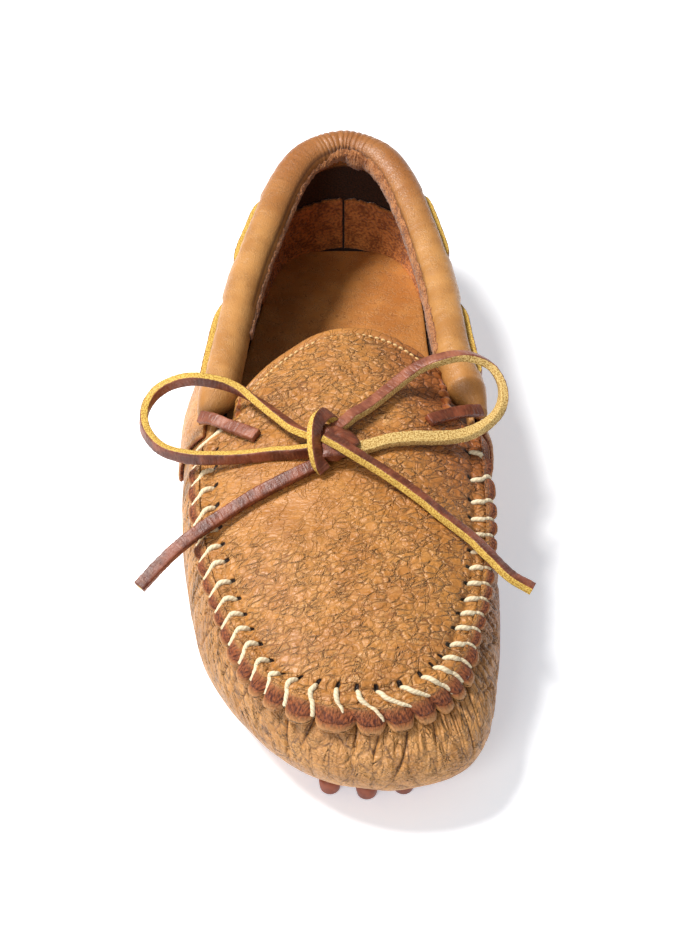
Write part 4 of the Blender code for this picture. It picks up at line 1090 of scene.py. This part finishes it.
def make_collar():
    """Padded roll round the opening, drawn tight over its filling and gathered at the heel."""
    places = np.linspace(COLLAR_OUTER, COUNT + COLLAR_INNER, 620)
    run = run_length(over_seam(places, 0.0, 0.0))
    from_end = np.minimum(run, run[-1] - run) / MM
    squeeze = 0.40 + 0.60 * ease(from_end / 9)
    squeeze[[0, -1]] = 0.05
    dip = pass_dip(places)
    cut = slit(places)
    long = run / MM
    heel = np.exp(-(((long - np.interp(COUNT + 0.08, places, long)) / 13) ** 4))
    rows, skins, crease_shade, painted_shade = [], [], [], []
    for turn in np.linspace(0, 2 * np.pi, 41):
        across, up = np.cos(turn), np.sin(turn)
        belly = 1 + 0.05 * np.cos(2 * turn)
        low_tuck = np.where(up < -0.6, (-up - 0.6) / 0.4, 0)
        out = -LEATHER / 2 + COLLAR_WIDTH / 2 * (across * belly * squeeze + 0.85 * (1 - squeeze))
        rise = COLLAR_MIDDLE * (0.25 + 0.75 * squeeze) + COLLAR_DEPTH / 2 * up * belly * squeeze
        outer = -LEATHER / 2 + COLLAR_WIDTH / 2 - (LACE_THICK + 2 * LACE_GAP - LACE_PROUD) * dip
        band = np.exp(-(((up * COLLAR_DEPTH / 2 / MM - 0.2) / 3.6) ** 4))
        out = np.where(across > 0, np.minimum(out, outer * band + out * (1 - band) + 0.0002), out)
        fold = value_noise(long / 1.5, up * 1.2 + 4, 81) * 0.6 + value_noise(long / 0.9, up * 2.0, 82) * 0.3
        wander = 0.35 * value_noise(long / 4, turn * 0.7, 85)
        uneven = 0.7 + 0.3 * value_noise(long / 1.7, turn * 0.4, 83)
        gather = np.cos(np.pi * (long / 2.2 + wander)) ** 4 * uneven
        puff = 0.22 * value_noise(long / 14, turn * 1.1, 84) + 0.12 * fold - 0.42 * heel * gather
        move = (puff - 0.35 * low_tuck) * MM * squeeze
        pit = cut * max(across, 0) ** 2 * np.exp(-(((up + 0.1) / 0.45) ** 2))
        out = out + across * move - 1.9 * MM * pit
        rise = rise + up * move
        rows.append(over_seam(places, out, rise))
        skins.append(with_last(run, turn * COLLAR_WIDTH / 2))
        beside = np.exp(-(((np.degrees(turn) - 150) / 9) ** 2)) * ease((from_end - 40) / 20)
        # Painted shade in the heel gathers, the lace slits, under the roll and along the lining's edge
        crease_shade.append(np.clip(0.50 * heel * gather + 1.0 * pit + 0.25 * low_tuck + 0.9 * beside, 0, 1))
        # Painted shade over the heel of the roll
        painted_shade.append(0.62 * np.exp(-(((long - np.interp(COUNT, places, long)) / 55) ** 4)))
    item = grid_mesh("padded_collar", rows, skins, {"crease_shade": crease_shade, "painted_shade": painted_shade}, wrap_rows=True)
    tints = ("#BC864A", "#A87238", "#8A5624", "#6E431C")
    soft = pulled_leather("glove_leather", tints, 1.1, 0.00007, 0.22, 0.5, rough=0.36)
    dress(item, soft, ["collar"])


def make_insole():
    """Padded sock, bare, its edge swelling over the curve of the wall, straight at the heel."""
    places = round_shoe(np.arange(0, TOE, 0.06))
    back = LENGTH / 2 - INSOLE_BACK + 0.001
    corner = 0.0010
    base = floor_edge(places, INSOLE_INSET)
    middle = (base + base[::-1]) / 2
    floor = LEATHER + INSOLE_GAP
    rows, skins = [], []
    profile = [(0.0, 0.0, 0.0), (0.6, 0.0, 0.0), (1.0, 0.0030, 0.0), (1.0, 0.0042, 0.4), (1.0, 0.0050, 0.75)]
    profile += [(1.0, 0.0050, 0.90), (1.0, 0.0045, 0.98), (1.0, 0.0034, 1.0)]
    profile += [(share, 0.0026, 1.0) for share in np.linspace(0.98, 0, 28)]
    for share, flare, high in profile:
        edge = floor_edge(places, INSOLE_INSET - flare)
        points = middle + (edge - middle) * share
        points[:, 1] = back - corner * np.log1p(np.exp((back - points[:, 1]) / corner))
        x, y = points[:, 0] / MM, points[:, 1] / MM
        crown = 0.12 * value_noise(x / 12, y / 12, 91)
        points[:, 2] = smooth_rows(places)[:, FOOT_UP] + floor + high * (INSOLE_PAD + crown * MM)
        rows.append(points)
        skins.append(np.column_stack([points[:, 0], points[:, 1] + 0.004 * (1 - high)]))
    item = grid_mesh("sock", rows, skins, {}, ring=True)
    tints = ("#C07C3A", "#AE6A2B", "#8A4E1C", "#6A3812")
    lining = pulled_leather("vegetable_tanned_lining", tints, 1.6, 0.00012, 0.3, 1.6, rough=0.5)
    dress(item, lining, ["insole"])


def pod_places():
    """Studs in staggered rows inside the plate, with a bare waist between forefoot and heel."""
    ring = floor_edge(np.arange(0, COUNT, 1 / 4), 0.0)
    found = []
    for step in (-1, 0, 1):
        y = POD_FRONT * LENGTH + abs(step) * POD_TURN
        found.append((POD_MIDDLE * BALL_WIDTH / 2 + step * POD_PITCH, y, roof_at(ring, y)))
    forefoot = np.arange(POD_FRONT * LENGTH + POD_PITCH, POD_WAIST * LENGTH, POD_PITCH)
    heel = np.arange(POD_HEEL * LENGTH, ring[:, 1].max() - POD_MARGIN, POD_PITCH)
    lines = [(y, (k + 1) % 2) for k, y in enumerate(forefoot)] + [(y, k % 2) for k, y in enumerate(heel)]
    for y, odd in lines:
        left, right = sides_at(ring, y)
        reach = int((right - left) / POD_PITCH)
        for step in range(-reach, reach + 1):
            x = (left + right) / 2 + (step + 0.5 * odd) * POD_PITCH
            if left + POD_MARGIN < x < right - POD_MARGIN:
                found.append((x, y, roof_at(ring, y)))
    return found


def sides_at(ring, y):
    """Where the plate begins and ends across the shoe at one place along it."""
    one, two = ring, np.roll(ring, -1, axis=0)
    cross = (one[:, 1] > y) != (two[:, 1] > y)
    share = (y - one[cross, 1]) / (two[cross, 1] - one[cross, 1])
    at_x = one[cross, 0] + share * (two[cross, 0] - one[cross, 0])
    return at_x.min(), at_x.max()


def roof_at(ring, y):
    """Height of the floor edge at the nearest place along the shoe."""
    near = np.argsort(np.abs(ring[:, 1] - y))[:4]
    return float(np.mean(ring[near, 2]))


def make_outsole():
    """Rubber plate and its studs, with the softened edges that a mould leaves."""
    places = round_shoe(np.arange(0, TOE, 0.1))
    ring = floor_edge(places, -SOLE_EDGE)
    drop = SOLE_GAP + FLOOR_SAG
    middle = (ring + ring[::-1]) / 2
    profile = ((0.0, -1.0), (0.6, -1.0), (0.975, -1.0), (0.993, -0.88), (1.0, -0.6))
    profile += ((1.0, -0.3), (0.993, -0.08), (0.975, 0.0), (0.6, 0.0), (0.0, 0.0))
    rows, skins = [], []
    for share, level in profile:
        points = middle + (ring - middle) * share
        points[:, 2] += -drop + level * SOLE_PLATE
        rows.append(points)
        skins.append(points[:, :2].copy())
    pieces = [grid_mesh("plate", rows, skins, {}, ring=True)]
    radius = POD_DIAMETER / 2
    turn = np.linspace(0, 2 * np.pi, 21)
    circle = np.stack([np.cos(turn), np.sin(turn)], 1)
    for x, y, roof in pod_places():
        top = roof - drop - SOLE_PLATE * 0.5
        section = ((0.0, top), (1.10, top), (1.06, 0.0030), (1.0, 0.0016), (0.96, 0.0008), (0.86, 0.0003))
        section += ((0.70, 0.00005), (0.0, 0.0))
        spots = np.array([with_last((x, y) + circle * radius * wide, z) for wide, z in section])
        pieces.append(grid_mesh("stud", spots, spots[:, :, :2] + spots[:, :, 2:], {}, ring=True))
    item = join("studded_sole", pieces)
    dress(item, moulded_rubber("nitrile_rubber", "#9A5238", "#7E3E2A"), ["outsole"])


# The lace: a flat strip with one grain face, along a line


def strip(name, route, looks, seed, flesh=(1.0, 1.0, 1.0), deep=LACE_THICK, spread=1.0):
    """Flat lace along a route of points; looks say where its grain face looks at each of them.

    flesh says how raw its back, its edges and its ends are; spread widens it and deep is its thickness.
    """
    fine = soft_line(np.hstack([np.array(route), np.array(looks)]), max(int(30 * len(route)), 40))
    line, face = fine[:, :3], fine[:, 3:]
    way = np.gradient(line, axis=0)
    way /= np.linalg.norm(way, axis=1)[:, None]
    side = np.cross(face, way)
    side /= np.linalg.norm(side, axis=1)[:, None]
    face = np.cross(way, side)
    run = run_length(line)
    back, edge, end = flesh
    half, thick = LACE_WIDTH / 2 * spread, deep / 2
    soft = 0.0005
    section = []
    for corner, (sx, sy) in enumerate(((1, 1), (-1, 1), (-1, -1), (1, -1))):
        for k in range(4):
            turn = (corner * 90 + 22.5 * k + 10) * np.pi / 180
            across = sx * (half - soft) + soft * np.cos(turn)
            up = sy * (thick - soft) + soft * np.sin(turn)
            section.append((across, up))
        if sy > 0 and sx > 0:
            section += [(share * half, thick) for share in (0.5, 0.0, -0.5)]
        if sy < 0 and sx < 0:
            section += [(share * half, -thick) for share in (-0.5, 0.0, 0.5)]
        if sy > 0 > sx:
            section.append((-half, 0.0))
        if sy < 0 < sx:
            section.append((half, 0.0))
    section = np.array(section + section[:1])
    rows, skins, rawness = [], [], []
    wobble = 1 + 0.05 * value_noise(run / MM / 5, seed, 101 + seed)
    for (across, up), along_skin in zip(section, run_length(section)):
        rough = 0.10 * value_noise(run / MM / 0.8, across / MM * 2 + up / MM * 5, 111 + seed) * MM
        crush = -0.10 * MM * creases(run / MM / 1.7, across / MM / 3, 121 + seed, 0.3) * (up > thick * 0.8)
        out_side = across * wobble + np.sign(across) * rough * (abs(across) > half * 0.9)
        out_face = up + rough * 0.5 + crush
        rows.append(line + side * out_side[:, None] + face * out_face[:, None])
        skins.append(with_last(run, along_skin))
        raw = 0.0 if up > thick * 0.80 else (back if up < -thick * 0.80 else edge)
        rawness.append(np.concatenate([[end], np.full(len(run), raw), [end]]))
    first, last = (line[None, [k]].repeat(len(section), 0) for k in (0, -1))
    skin = np.array(skins)
    skin = np.concatenate([skin[:, :1], skin, skin[:, -1:]], 1)
    item = grid_mesh(name, np.concatenate([first, rows, last], 1), skin, {"flesh": rawness}, wrap_rows=True)
    return item, line


# Middle lines of the free lace as the solids have them, and where the grain face looks
LACE_ROUTES = {
    "lace_loop_outer": (
        (-0.0124, -0.0262, 0.0620), (-0.0178, -0.0195, 0.0606), (-0.0270, -0.0092, 0.0600),
        (-0.0345, -0.0045, 0.0615), (-0.0415, -0.0030, 0.0628), (-0.0490, -0.0020, 0.0628),
        (-0.0565, -0.0022, 0.0605), (-0.0618, -0.0050, 0.0578), (-0.0645, -0.0100, 0.0550),
        (-0.0636, -0.0172, 0.0530), (-0.0580, -0.0250, 0.0523), (-0.0490, -0.0294, 0.0528),
        (-0.0385, -0.0312, 0.0540), (-0.0290, -0.0320, 0.0555), (-0.0200, -0.0328, 0.0576),
        (-0.0124, -0.0338, 0.0592),
    ),
    "lace_loop_inner": (
        (0.0032, -0.0232, 0.0628), (0.0060, -0.0198, 0.0628), (0.0110, -0.0148, 0.0622),
        (0.0170, -0.0078, 0.0620), (0.0232, -0.0015, 0.0630), (0.0295, 0.0030, 0.0645),
        (0.0365, 0.0046, 0.0662), (0.0430, 0.0058, 0.0664), (0.0490, 0.0054, 0.0650),
        (0.0536, 0.0036, 0.0626), (0.0564, -0.0010, 0.0600), (0.0567, -0.0066, 0.0577),
        (0.0545, -0.0124, 0.0563), (0.0495, -0.0180, 0.0558), (0.0425, -0.0226, 0.0562),
        (0.0345, -0.0253, 0.0576), (0.0262, -0.0270, 0.0592), (0.0180, -0.0290, 0.0600),
        (0.0110, -0.0318, 0.0600), (0.0050, -0.0336, 0.0602),
    ),
    "lace_end_outer": (
        (-0.0118, -0.0425, 0.0583), (-0.0178, -0.0452, 0.0567), (-0.0270, -0.0494, 0.0540),
        (-0.0355, -0.0542, 0.0512), (-0.0435, -0.0592, 0.0487), (-0.0505, -0.0642, 0.0459),
        (-0.0563, -0.0690, 0.0428), (-0.0627, -0.0756, 0.0395),
    ),
    "lace_end_inner": (
        (0.0034, -0.0378, 0.0652), (0.0112, -0.0416, 0.0622), (0.0195, -0.0462, 0.0592),
        (0.0275, -0.0514, 0.0562), (0.0355, -0.0577, 0.0532), (0.0435, -0.0635, 0.0502),
        (0.0500, -0.0705, 0.0482), (0.0560, -0.0762, 0.0455), (0.0631, -0.0796, 0.0430),
    ),
}
UP_BACK, BACK, LEFT, FRONT = (0.15, 0.55, 0.80), (0.05, 1.0, 0.12), (-0.98, 0.1, 0.1), (0.0, -0.96, 0.14)
LACE_LOOKS = {
    "lace_loop_outer": (
        UP_BACK, UP_BACK, (0.1, 0.8, 0.6), (0.05, 0.95, 0.3), BACK, BACK, (-0.35, 0.9, 0.1), (-0.7, 0.6, 0.1),
        LEFT, (-0.9, -0.5, 0.1), (-0.5, -0.85, 0.12), (-0.15, -0.95, 0.14), FRONT, FRONT, FRONT, FRONT,
    ),
    "lace_loop_inner": (
        (-0.3, -0.3, 0.9), (-0.3, -0.2, 0.9), (-0.25, -0.15, 0.95), (-0.2, -0.1, 0.97), (-0.15, -0.1, 0.98),
        (-0.1, -0.05, 0.99), (0.0, 0.1, 0.98), (0.2, 0.3, 0.9), (0.5, 0.4, 0.75), (0.8, 0.35, 0.45),
        (0.95, 0.1, 0.1), (0.9, -0.1, -0.35), (0.7, -0.1, -0.7), (0.4, 0.0, -0.9), (0.1, 0.15, -0.98),
        (0.0, 0.25, -0.96), (0.0, 0.3, -0.95), (0.0, 0.3, -0.95), (0.0, 0.3, -0.95), (0.0, 0.3, -0.95),
    ),
    "lace_end_outer": (((-0.05, -0.35, 0.93),) * 8),
    "lace_end_inner": (((0.50, 0.10, 0.85),) * 9),
}
# Each stop is a share of half BALL_WIDTH to the inner side, of LENGTH to the heel and of HEEL_HEIGHT up
LACE_BARS = {
    "lace_bar_outer": (
        ((-0.8642, -0.0254, 0.7576), (-0.58, -0.15, 0.80)),
        ((-0.7830, -0.0366, 0.7909), (-0.50, -0.18, 0.84)),
        ((-0.6811, -0.0521, 0.8091), (-0.35, -0.20, 0.91)),
        ((-0.5830, -0.0669, 0.8333), (-0.22, -0.22, 0.95)),
        ((-0.4943, -0.0796, 0.8500), (-0.16, -0.22, 0.96)),
    ),
    "lace_bar_inner": (
        ((0.9358, -0.0148, 0.7606), (0.58, -0.15, 0.80)),
        ((0.8604, -0.0239, 0.7970), (0.50, -0.18, 0.84)),
        ((0.7660, -0.0338, 0.8212), (0.36, -0.20, 0.91)),
        ((0.6660, -0.0472, 0.8485), (0.24, -0.22, 0.95)),
        ((0.5943, -0.0577, 0.8652), (0.18, -0.22, 0.96)),
    ),
}
# The turn of lace over the crossing of the bow, from behind over the top to the front
KNOT_TURN = (
    (0.0000, -0.0225, 0.0590), (-0.0010, -0.0218, 0.0634), (-0.0034, -0.0238, 0.0668),
    (-0.0058, -0.0286, 0.0684), (-0.0068, -0.0338, 0.0680), (-0.0066, -0.0382, 0.0656),
    (-0.0054, -0.0410, 0.0618), (-0.0036, -0.0418, 0.0588),
)
KNOT_LOOKS = (
    (0.70, 0.70, 0.1), (0.72, 0.60, 0.3), (0.74, 0.30, 0.55), (0.76, -0.05, 0.6), (0.78, -0.25, 0.55),
    (0.76, -0.45, 0.4), (0.72, -0.65, 0.2), (0.65, -0.75, -0.1),
)
# Where the free lace goes on inside the knot, before its first and past its last point
KNOT_HEART = {
    "lace_loop_outer": ((-0.0030, -0.0318, 0.0622), (-0.0030, -0.0335, 0.0608)),
    "lace_loop_inner": ((-0.0034, -0.0290, 0.0618), (-0.0020, -0.0345, 0.0600)),
    "lace_end_outer": ((-0.0030, -0.0385, 0.0600), None),
    "lace_end_inner": ((-0.0034, -0.0340, 0.0668), None),
}


def whole_route(name):
    """Points and looks of one free lace, with its short ends in the knot."""
    route, looks = list(LACE_ROUTES[name]), list(LACE_LOOKS[name])
    first, last = KNOT_HEART[name]
    if first:
        route, looks = [first] + route, [looks[0]] + looks
    if last:
        route, looks = route + [last], looks + [looks[-1]]
    return route, looks


def make_lace():
    """Bow, bars and passes of one rawhide lace."""
    hide = rawhide("oiled_rawhide", "#824228", "#582612", "#DCBA5C", "#A87C2C")
    pale = rawhide("oiled_rawhide_pale", "#985A40", "#723A26", "#DEC07C", "#A27A38")
    turn = strip("knot_turn", KNOT_TURN, KNOT_LOOKS, 7, deep=0.0026, spread=1.10)[0]
    knot = join("bow_knot", [turn, make_knot_heart()])
    dress(knot, hide, ["lace_knot"])
    for seed, name in enumerate(LACE_ROUTES):
        route, looks = whole_route(name)
        back = 0.0 if name == "lace_loop_outer" else 1.0
        edge = 0.0 if name == "lace_end_outer" else 1.0
        item, line = strip(name + "_strip", route, looks, seed, (back, edge, 1.0), LACE_EDGE)
        dress(item, pale if name == "lace_loop_inner" else hide, [name])
    sizes = np.array([BALL_WIDTH / 2, LENGTH, HEEL_HEIGHT])
    for seed, (name, stops) in enumerate(LACE_BARS.items()):
        route, looks = [stop[0] * sizes for stop in stops], [stop[1] for stop in stops]
        item = strip(name + "_strip", route, looks, 20 + seed, (0.0, 0.0, 0.0))[0]
        dress(item, pale if name == "lace_bar_outer" else hide, [name])
    for seed, (name, (first, last)) in enumerate(LACE_PASSES.items()):
        places = np.linspace(first - 0.10, last + 0.10, 9)
        sink = np.interp(places, [places[0], first + 0.06, last - 0.06, places[-1]], [-0.0022, 0, 0, -0.0022])
        out = COLLAR_WIDTH / 2 - LEATHER / 2 + LACE_PROUD + 0.0007 - LACE_THICK / 2 + sink
        route = over_seam(places, out, COLLAR_DEPTH / 2 - LACE_LOW)
        looks = with_last(outward(places, seam), 0.05)
        dress(strip(name + "_strip", route, looks, 30 + seed)[0], hide, [name])


def make_knot_heart():
    """Crumpled lace inside the knot."""
    turn = np.linspace(0, 2 * np.pi, 37)
    circle = np.stack([np.cos(turn), np.sin(turn)], 1)
    rows, skins = [], []
    for level in np.linspace(-np.pi / 2, np.pi / 2, 19):
        ring = with_last(circle * np.cos(level), np.sin(level))
        swing = 1 + 0.16 * value_noise(ring[:, 0] * 3 + 5, ring[:, 1] * 3 + ring[:, 2] * 2, 131)
        spot = ring * swing[:, None] * (0.0078, 0.0080, 0.0042) + (-0.0006, -0.0322, 0.0618)
        spot[-1] = spot[0]
        rows.append(spot)
        skins.append(with_last(turn * 0.006, level * 0.006))
    rows = np.array(rows)
    rows[0] = rows[0].mean(0)
    rows[-1] = rows[-1].mean(0)
    return grid_mesh("knot_heart", rows, skins, {"flesh": 0.0}, ring=True)


# Threads


def thread(name, route, thick, sides, steps):
    """Round thread along a route, tapering into the leather at both ends."""
    line = soft_line(route, steps)
    way = np.gradient(line, axis=0)
    way /= np.linalg.norm(way, axis=1)[:, None]
    side = np.cross(way, (0.0, 0.0, 1.0))
    side /= np.linalg.norm(side, axis=1)[:, None] + 1e-9
    up = np.cross(side, way)
    run = run_length(line)
    turn = np.linspace(0, 2 * np.pi, sides + 1)
    body = np.sqrt(np.clip(1 - (np.abs(np.linspace(-1, 1, steps)) ** 6), 0.0, 1))
    radius = (thick / 2 * body)[:, None]
    rows = [line + radius * (side * np.cos(around) + up * np.sin(around)) for around in turn]
    return grid_mesh(name, rows, [with_last(run, around * thick / 2) for around in turn], {}, wrap_rows=True)


def on_plug(surface, place, left):
    """Point on the grain side of the plug at a place, some mm in from its edge."""
    points, lefts, places = surface
    column = np.argmin(np.abs(places - place))
    order = np.argsort(lefts[:, column])
    return np.array([np.interp(left, lefts[order, column], points[order, column, j]) for j in range(3)])


def make_whip_stitches(surface):
    """Waxed thread over the ridge, from each hole in the plug to the groove under the ridge."""
    pieces = []
    for k, hole in enumerate(STITCHES):
        slant = float(slant_at(hole))
        roll = float(rolled(hole))

        def mixed(stands, lies, corner):
            spot = np.array(stands[corner]) * (1 - roll) + np.array(lies[corner]) * roll
            return spot + (HEART - spot) * PINCH * (0.5 if corner == 1 else 1.0)

        over = [mixed(PLUG_STANDS, PLUG_LIES, corner) for corner in range(1, 7)]
        under = [mixed(WRAP_STANDS, WRAP_LIES, corner) for corner in (4, 3)]
        section = np.array(over + under)
        away = np.gradient(section, axis=0)
        away = np.column_stack([-away[:, 1], away[:, 0]])
        away /= np.linalg.norm(away, axis=1)[:, None]
        lift = np.full(len(section), 0.50)
        lift[-1] = -0.5
        lifted = (section + away * lift[:, None]) * MM
        slanted = SLANT_START + (1 - SLANT_START) * np.minimum(np.arange(1, len(section) + 1) / 6, 1)
        beats = np.clip(k - slant * slanted, -0.5, len(STITCHES) - 1)
        line = over_seam(place_of(beats), lifted[:, 0], lifted[:, 1])
        start = []
        for left, high in ((HOLE_IN, -1.0), (3.1, 0.35), (2.1, 0.55), (1.0, 0.55)):
            beat = np.clip(k - slant * slant_before(left), -0.5, len(STITCHES) - 1)
            start.append(on_plug(surface, place_of(beat), left) + (0, 0, high * MM))
        pieces.append(thread("stitch", np.vstack([start, line[1:]]), WHIP_THREAD, 12, 34))
    item = join("whip_stitches", pieces)
    dress(item, linen_thread("waxed_linen_thread", "#E6D6B4", "#A88A5E"))


def make_tongue_stitches():
    """Machine stitches along the folded edge of the tongue."""
    shares = np.linspace(0.0, 1.0, 600)
    edge = tongue_edge(shares)
    run = run_length(edge)
    inward = plug_surface(0.5 + (shares - 0.5) * 0.97, np.full(600, 0.97)) - edge
    inward /= np.linalg.norm(inward, axis=1)[:, None]
    line = edge + inward * (HEM * MM)
    line[:, 2] += LEATHER + 0.15 * MM
    pieces = []
    for k in range(2, int(run[-1] / TONGUE_STITCH) - 2):
        where = k * TONGUE_STITCH + np.array([0.0, 0.5, 1.2, 1.75]) * MM
        spots = np.column_stack([np.interp(where, run, line[:, j]) for j in range(3)])
        spots[[0, -1], 2] -= 0.45 * MM
        pieces.append(thread("stitch", spots, TONGUE_THREAD, 8, 9))
    item = join("tongue_stitches", pieces)
    dress(item, linen_thread("spun_thread", "#D8B27A", "#A87B45"))


def make_counter():
    """Suede lining of the heel in two halves with a seam at the back, and its frayed upper edge."""
    pieces = []
    for first, last in ((COUNT - 3.1, COUNT - 0.03), (COUNT + 0.03, COUNT + 3.1)):
        places = np.linspace(first, last, 150)
        run = run_length(wall(places, 1.0))
        body = rounded_end(np.minimum(run, run[-1] - run) / MM, 0.7)
        rows, skins = [], []
        profile = [(s, 1.0) for s in np.linspace(0.35, 1.24, 30)] + [(1.24, 0.5)]
        profile += [(s, 0.0) for s in np.linspace(1.24, 0.35, 8)] + [(0.35, 0.5), (0.35, 1.0)]
        for height, thick in profile:
            rough = 0.12 * value_noise(run / MM / 1.2, height * 20, 141) * thick * body
            off = -LEATHER - (0.2 + (0.5 + (thick - 0.5) * body) * 1.1 + rough) * MM
            ragged = height + 0.02 * value_noise(run / MM / 1.5, 0.0, 142) * (height > 1.15)
            rows.append(wall_face(places, ragged, off))
            skins.append(with_last(run, height * SKIN_HEIGHT))
        pieces.append(grid_mesh("half", rows, skins, {}, wrap_rows=True))
    item = join("heel_counter_lining", pieces)
    dress(item, suede("counter_suede", "#CC7C3E", "#86471E", 1.3, 0.0007))
    dress(make_lining_edge(), suede("frayed_suede", "#BE8050", "#74401F", 0.8, 0.0006))


def make_lining_edge():
    """Frayed edge of the suede lining, folded over the inner side of the roll and ragged at the heel."""
    places = np.linspace(COUNT - 4.6, COUNT + 5.0, 640)
    long = run_length(over_seam(places, 0.0, 0.0)) / MM
    centre = np.interp(COUNT + 0.55, places, long)
    ragged = np.exp(-(((long - centre) / 5) ** 4))
    left = ease((COUNT - 0.1 - places) / 0.8)
    wavy = 3.5 * value_noise(long / 1.1, 0.0, 151) + 3 * value_noise(long / 6, 0.0, 152)
    first = np.radians(148 + 22 * left + wavy)
    last = np.radians(194 + 20 * ragged + 5 * value_noise(long / 1.3, 0.0, 153))
    rows, skins = [], []
    profile = [(share, 1.0) for share in np.linspace(0, 1, 16)]
    profile += [(share, 0.0) for share in np.linspace(1, 0, 6)] + [(0.0, 1.0)]
    for share, high in profile:
        turn = first + (last - first) * share
        fray = 0.22 * value_noise(long / 0.9, share * 7, 154) + 0.15 * value_noise(long / 3, share * 3, 155)
        swollen = np.sin(np.pi * np.clip(share * 0.9 + 0.05, 0, 1))
        off = (0.15 + high * (0.5 + 0.7 * swollen + fray + 0.6 * ragged)) * MM
        out = -LEATHER / 2 + np.cos(turn) * (COLLAR_WIDTH / 2 * 0.97 + off)
        rows.append(over_seam(places, out, COLLAR_MIDDLE + np.sin(turn) * (COLLAR_DEPTH / 2 * 0.97 + off)))
        skins.append(with_last(long * MM, share * 0.008 + 0.01 * (1 - high)))
    rows = np.array(rows)
    rows[:, 0] = rows[:, 0].mean(0)
    rows[:, -1] = rows[:, -1].mean(0)
    return grid_mesh("lining_edge", rows, skins, {}, wrap_rows=True)


def make_side_seams():
    """Raw turned seams where the plug meets the collar at both ears."""
    pieces = []
    for first, last, thick in ((5.45, 6.50, 1.8), (20.50, 19.95, 1.2)):
        places = np.linspace(first, last, 60)
        out = with_last(outward(places, seam), 0.0)
        line = plug_edge(places) - out * (0.4 * MM)
        line[:, 2] += LEATHER + 0.9 * MM
        run = run_length(line)
        rows, skins = [], []
        for turn in np.linspace(0, 2 * np.pi, 15):
            lump = 1 + 0.25 * (np.sin(run / MM * 2 * np.pi / 3.4) + value_noise(run / MM / 1.1, turn, 161))
            lump *= np.sqrt(np.clip(1 - np.abs(np.linspace(-1, 1, 60)) ** 5, 0, 1))
            spot = line + out * (np.cos(turn) * thick * lump * MM)[:, None]
            spot[:, 2] += np.sin(turn) * thick * 0.8 * lump * MM
            rows.append(spot)
            skins.append(with_last(run, turn * 0.0015))
        pieces.append(grid_mesh("bead", rows, skins, {}, wrap_rows=True))
    item = join("ear_seams", pieces)
    dress(item, suede("raw_leather_edge", "#B06A34", "#7C3E1A", 1.2, 0.0005))


# Stage, light and camera


def make_stage():
    """Plain pale floor."""
    mesh = bpy.data.meshes.new("floor")
    far = 6.0
    mesh.from_pydata([(-far, -far, 0), (far, -far, 0), (far, far, 0), (-far, far, 0)], [], [(0, 1, 2, 3)])
    floor = bpy.data.objects.new("floor", mesh)
    bpy.context.scene.collection.objects.link(floor)
    material, tree, shader = new_finish("white_paper")
    fill(tree, shader, {"Base Color": linear("#F4F5F7"), "Roughness": 0.9})
    fill(tree, shader, {"Emission Color": linear("#E6ECF6"), "Emission Strength": 0.44})
    mesh.materials.append(material)


def area_light(name, place, target, size, power, colour=(1, 1, 1)):
    """Round soft light that looks at a target."""
    data = bpy.data.lights.new(name, "AREA")
    data.shape = "DISK"
    data.size = size
    data.energy = power
    data.color = colour
    item = bpy.data.objects.new(name, data)
    item.location = place
    item.rotation_euler = (Vector(target) - Vector(place)).to_track_quat("-Z", "Y").to_euler()
    bpy.context.scene.collection.objects.link(item)


def make_light():
    """One soft key from the upper left, a weak front fill and a dim surround."""
    world = bpy.data.worlds.new("surround")
    world.use_nodes = True
    world.node_tree.nodes["Background"].inputs["Color"].default_value = (1.0, 1.0, 1.0, 1.0)
    world.node_tree.nodes["Background"].inputs["Strength"].default_value = 0.30
    bpy.context.scene.world = world
    area_light("key", (-0.62, 0.12, 1.20), (0.0, -0.02, 0.03), 0.40, 24.5, (1.0, 0.98, 0.95))
    area_light("front", (-0.45, -1.0, 0.8), (0.0, -0.05, 0.03), 0.5, 5.0)


def make_camera():
    """The photograph's angle: straight at the toe from 44.5 degrees up, 0.72 m away."""
    focal_px, distance, elevation = 2080.0, 0.72, np.radians(44.5)
    target = np.array([0.0033, -0.011, 0.030])
    data = bpy.data.cameras.new("camera")
    data.sensor_width = 36.0
    data.lens = focal_px * 36.0 / 933
    data.shift_x = 5.0 / 933
    data.shift_y = 0.5 / 933
    item = bpy.data.objects.new("camera", data)
    item.location = target + distance * np.array([0.0, -np.cos(elevation), np.sin(elevation)])
    item.rotation_euler = (np.pi / 2 - elevation, 0.0, 0.0)
    bpy.context.scene.collection.objects.link(item)
    bpy.context.scene.camera = item


make_camera()
make_lace()
make_wrap()
plug_side = make_plug()
make_quarter()
make_collar()
make_insole()
make_outsole()
make_whip_stitches(plug_side)
make_tongue_stitches()
make_counter()
make_side_seams()
make_stage()
make_light()
bpy.context.scene.view_settings.view_transform = "Standard"
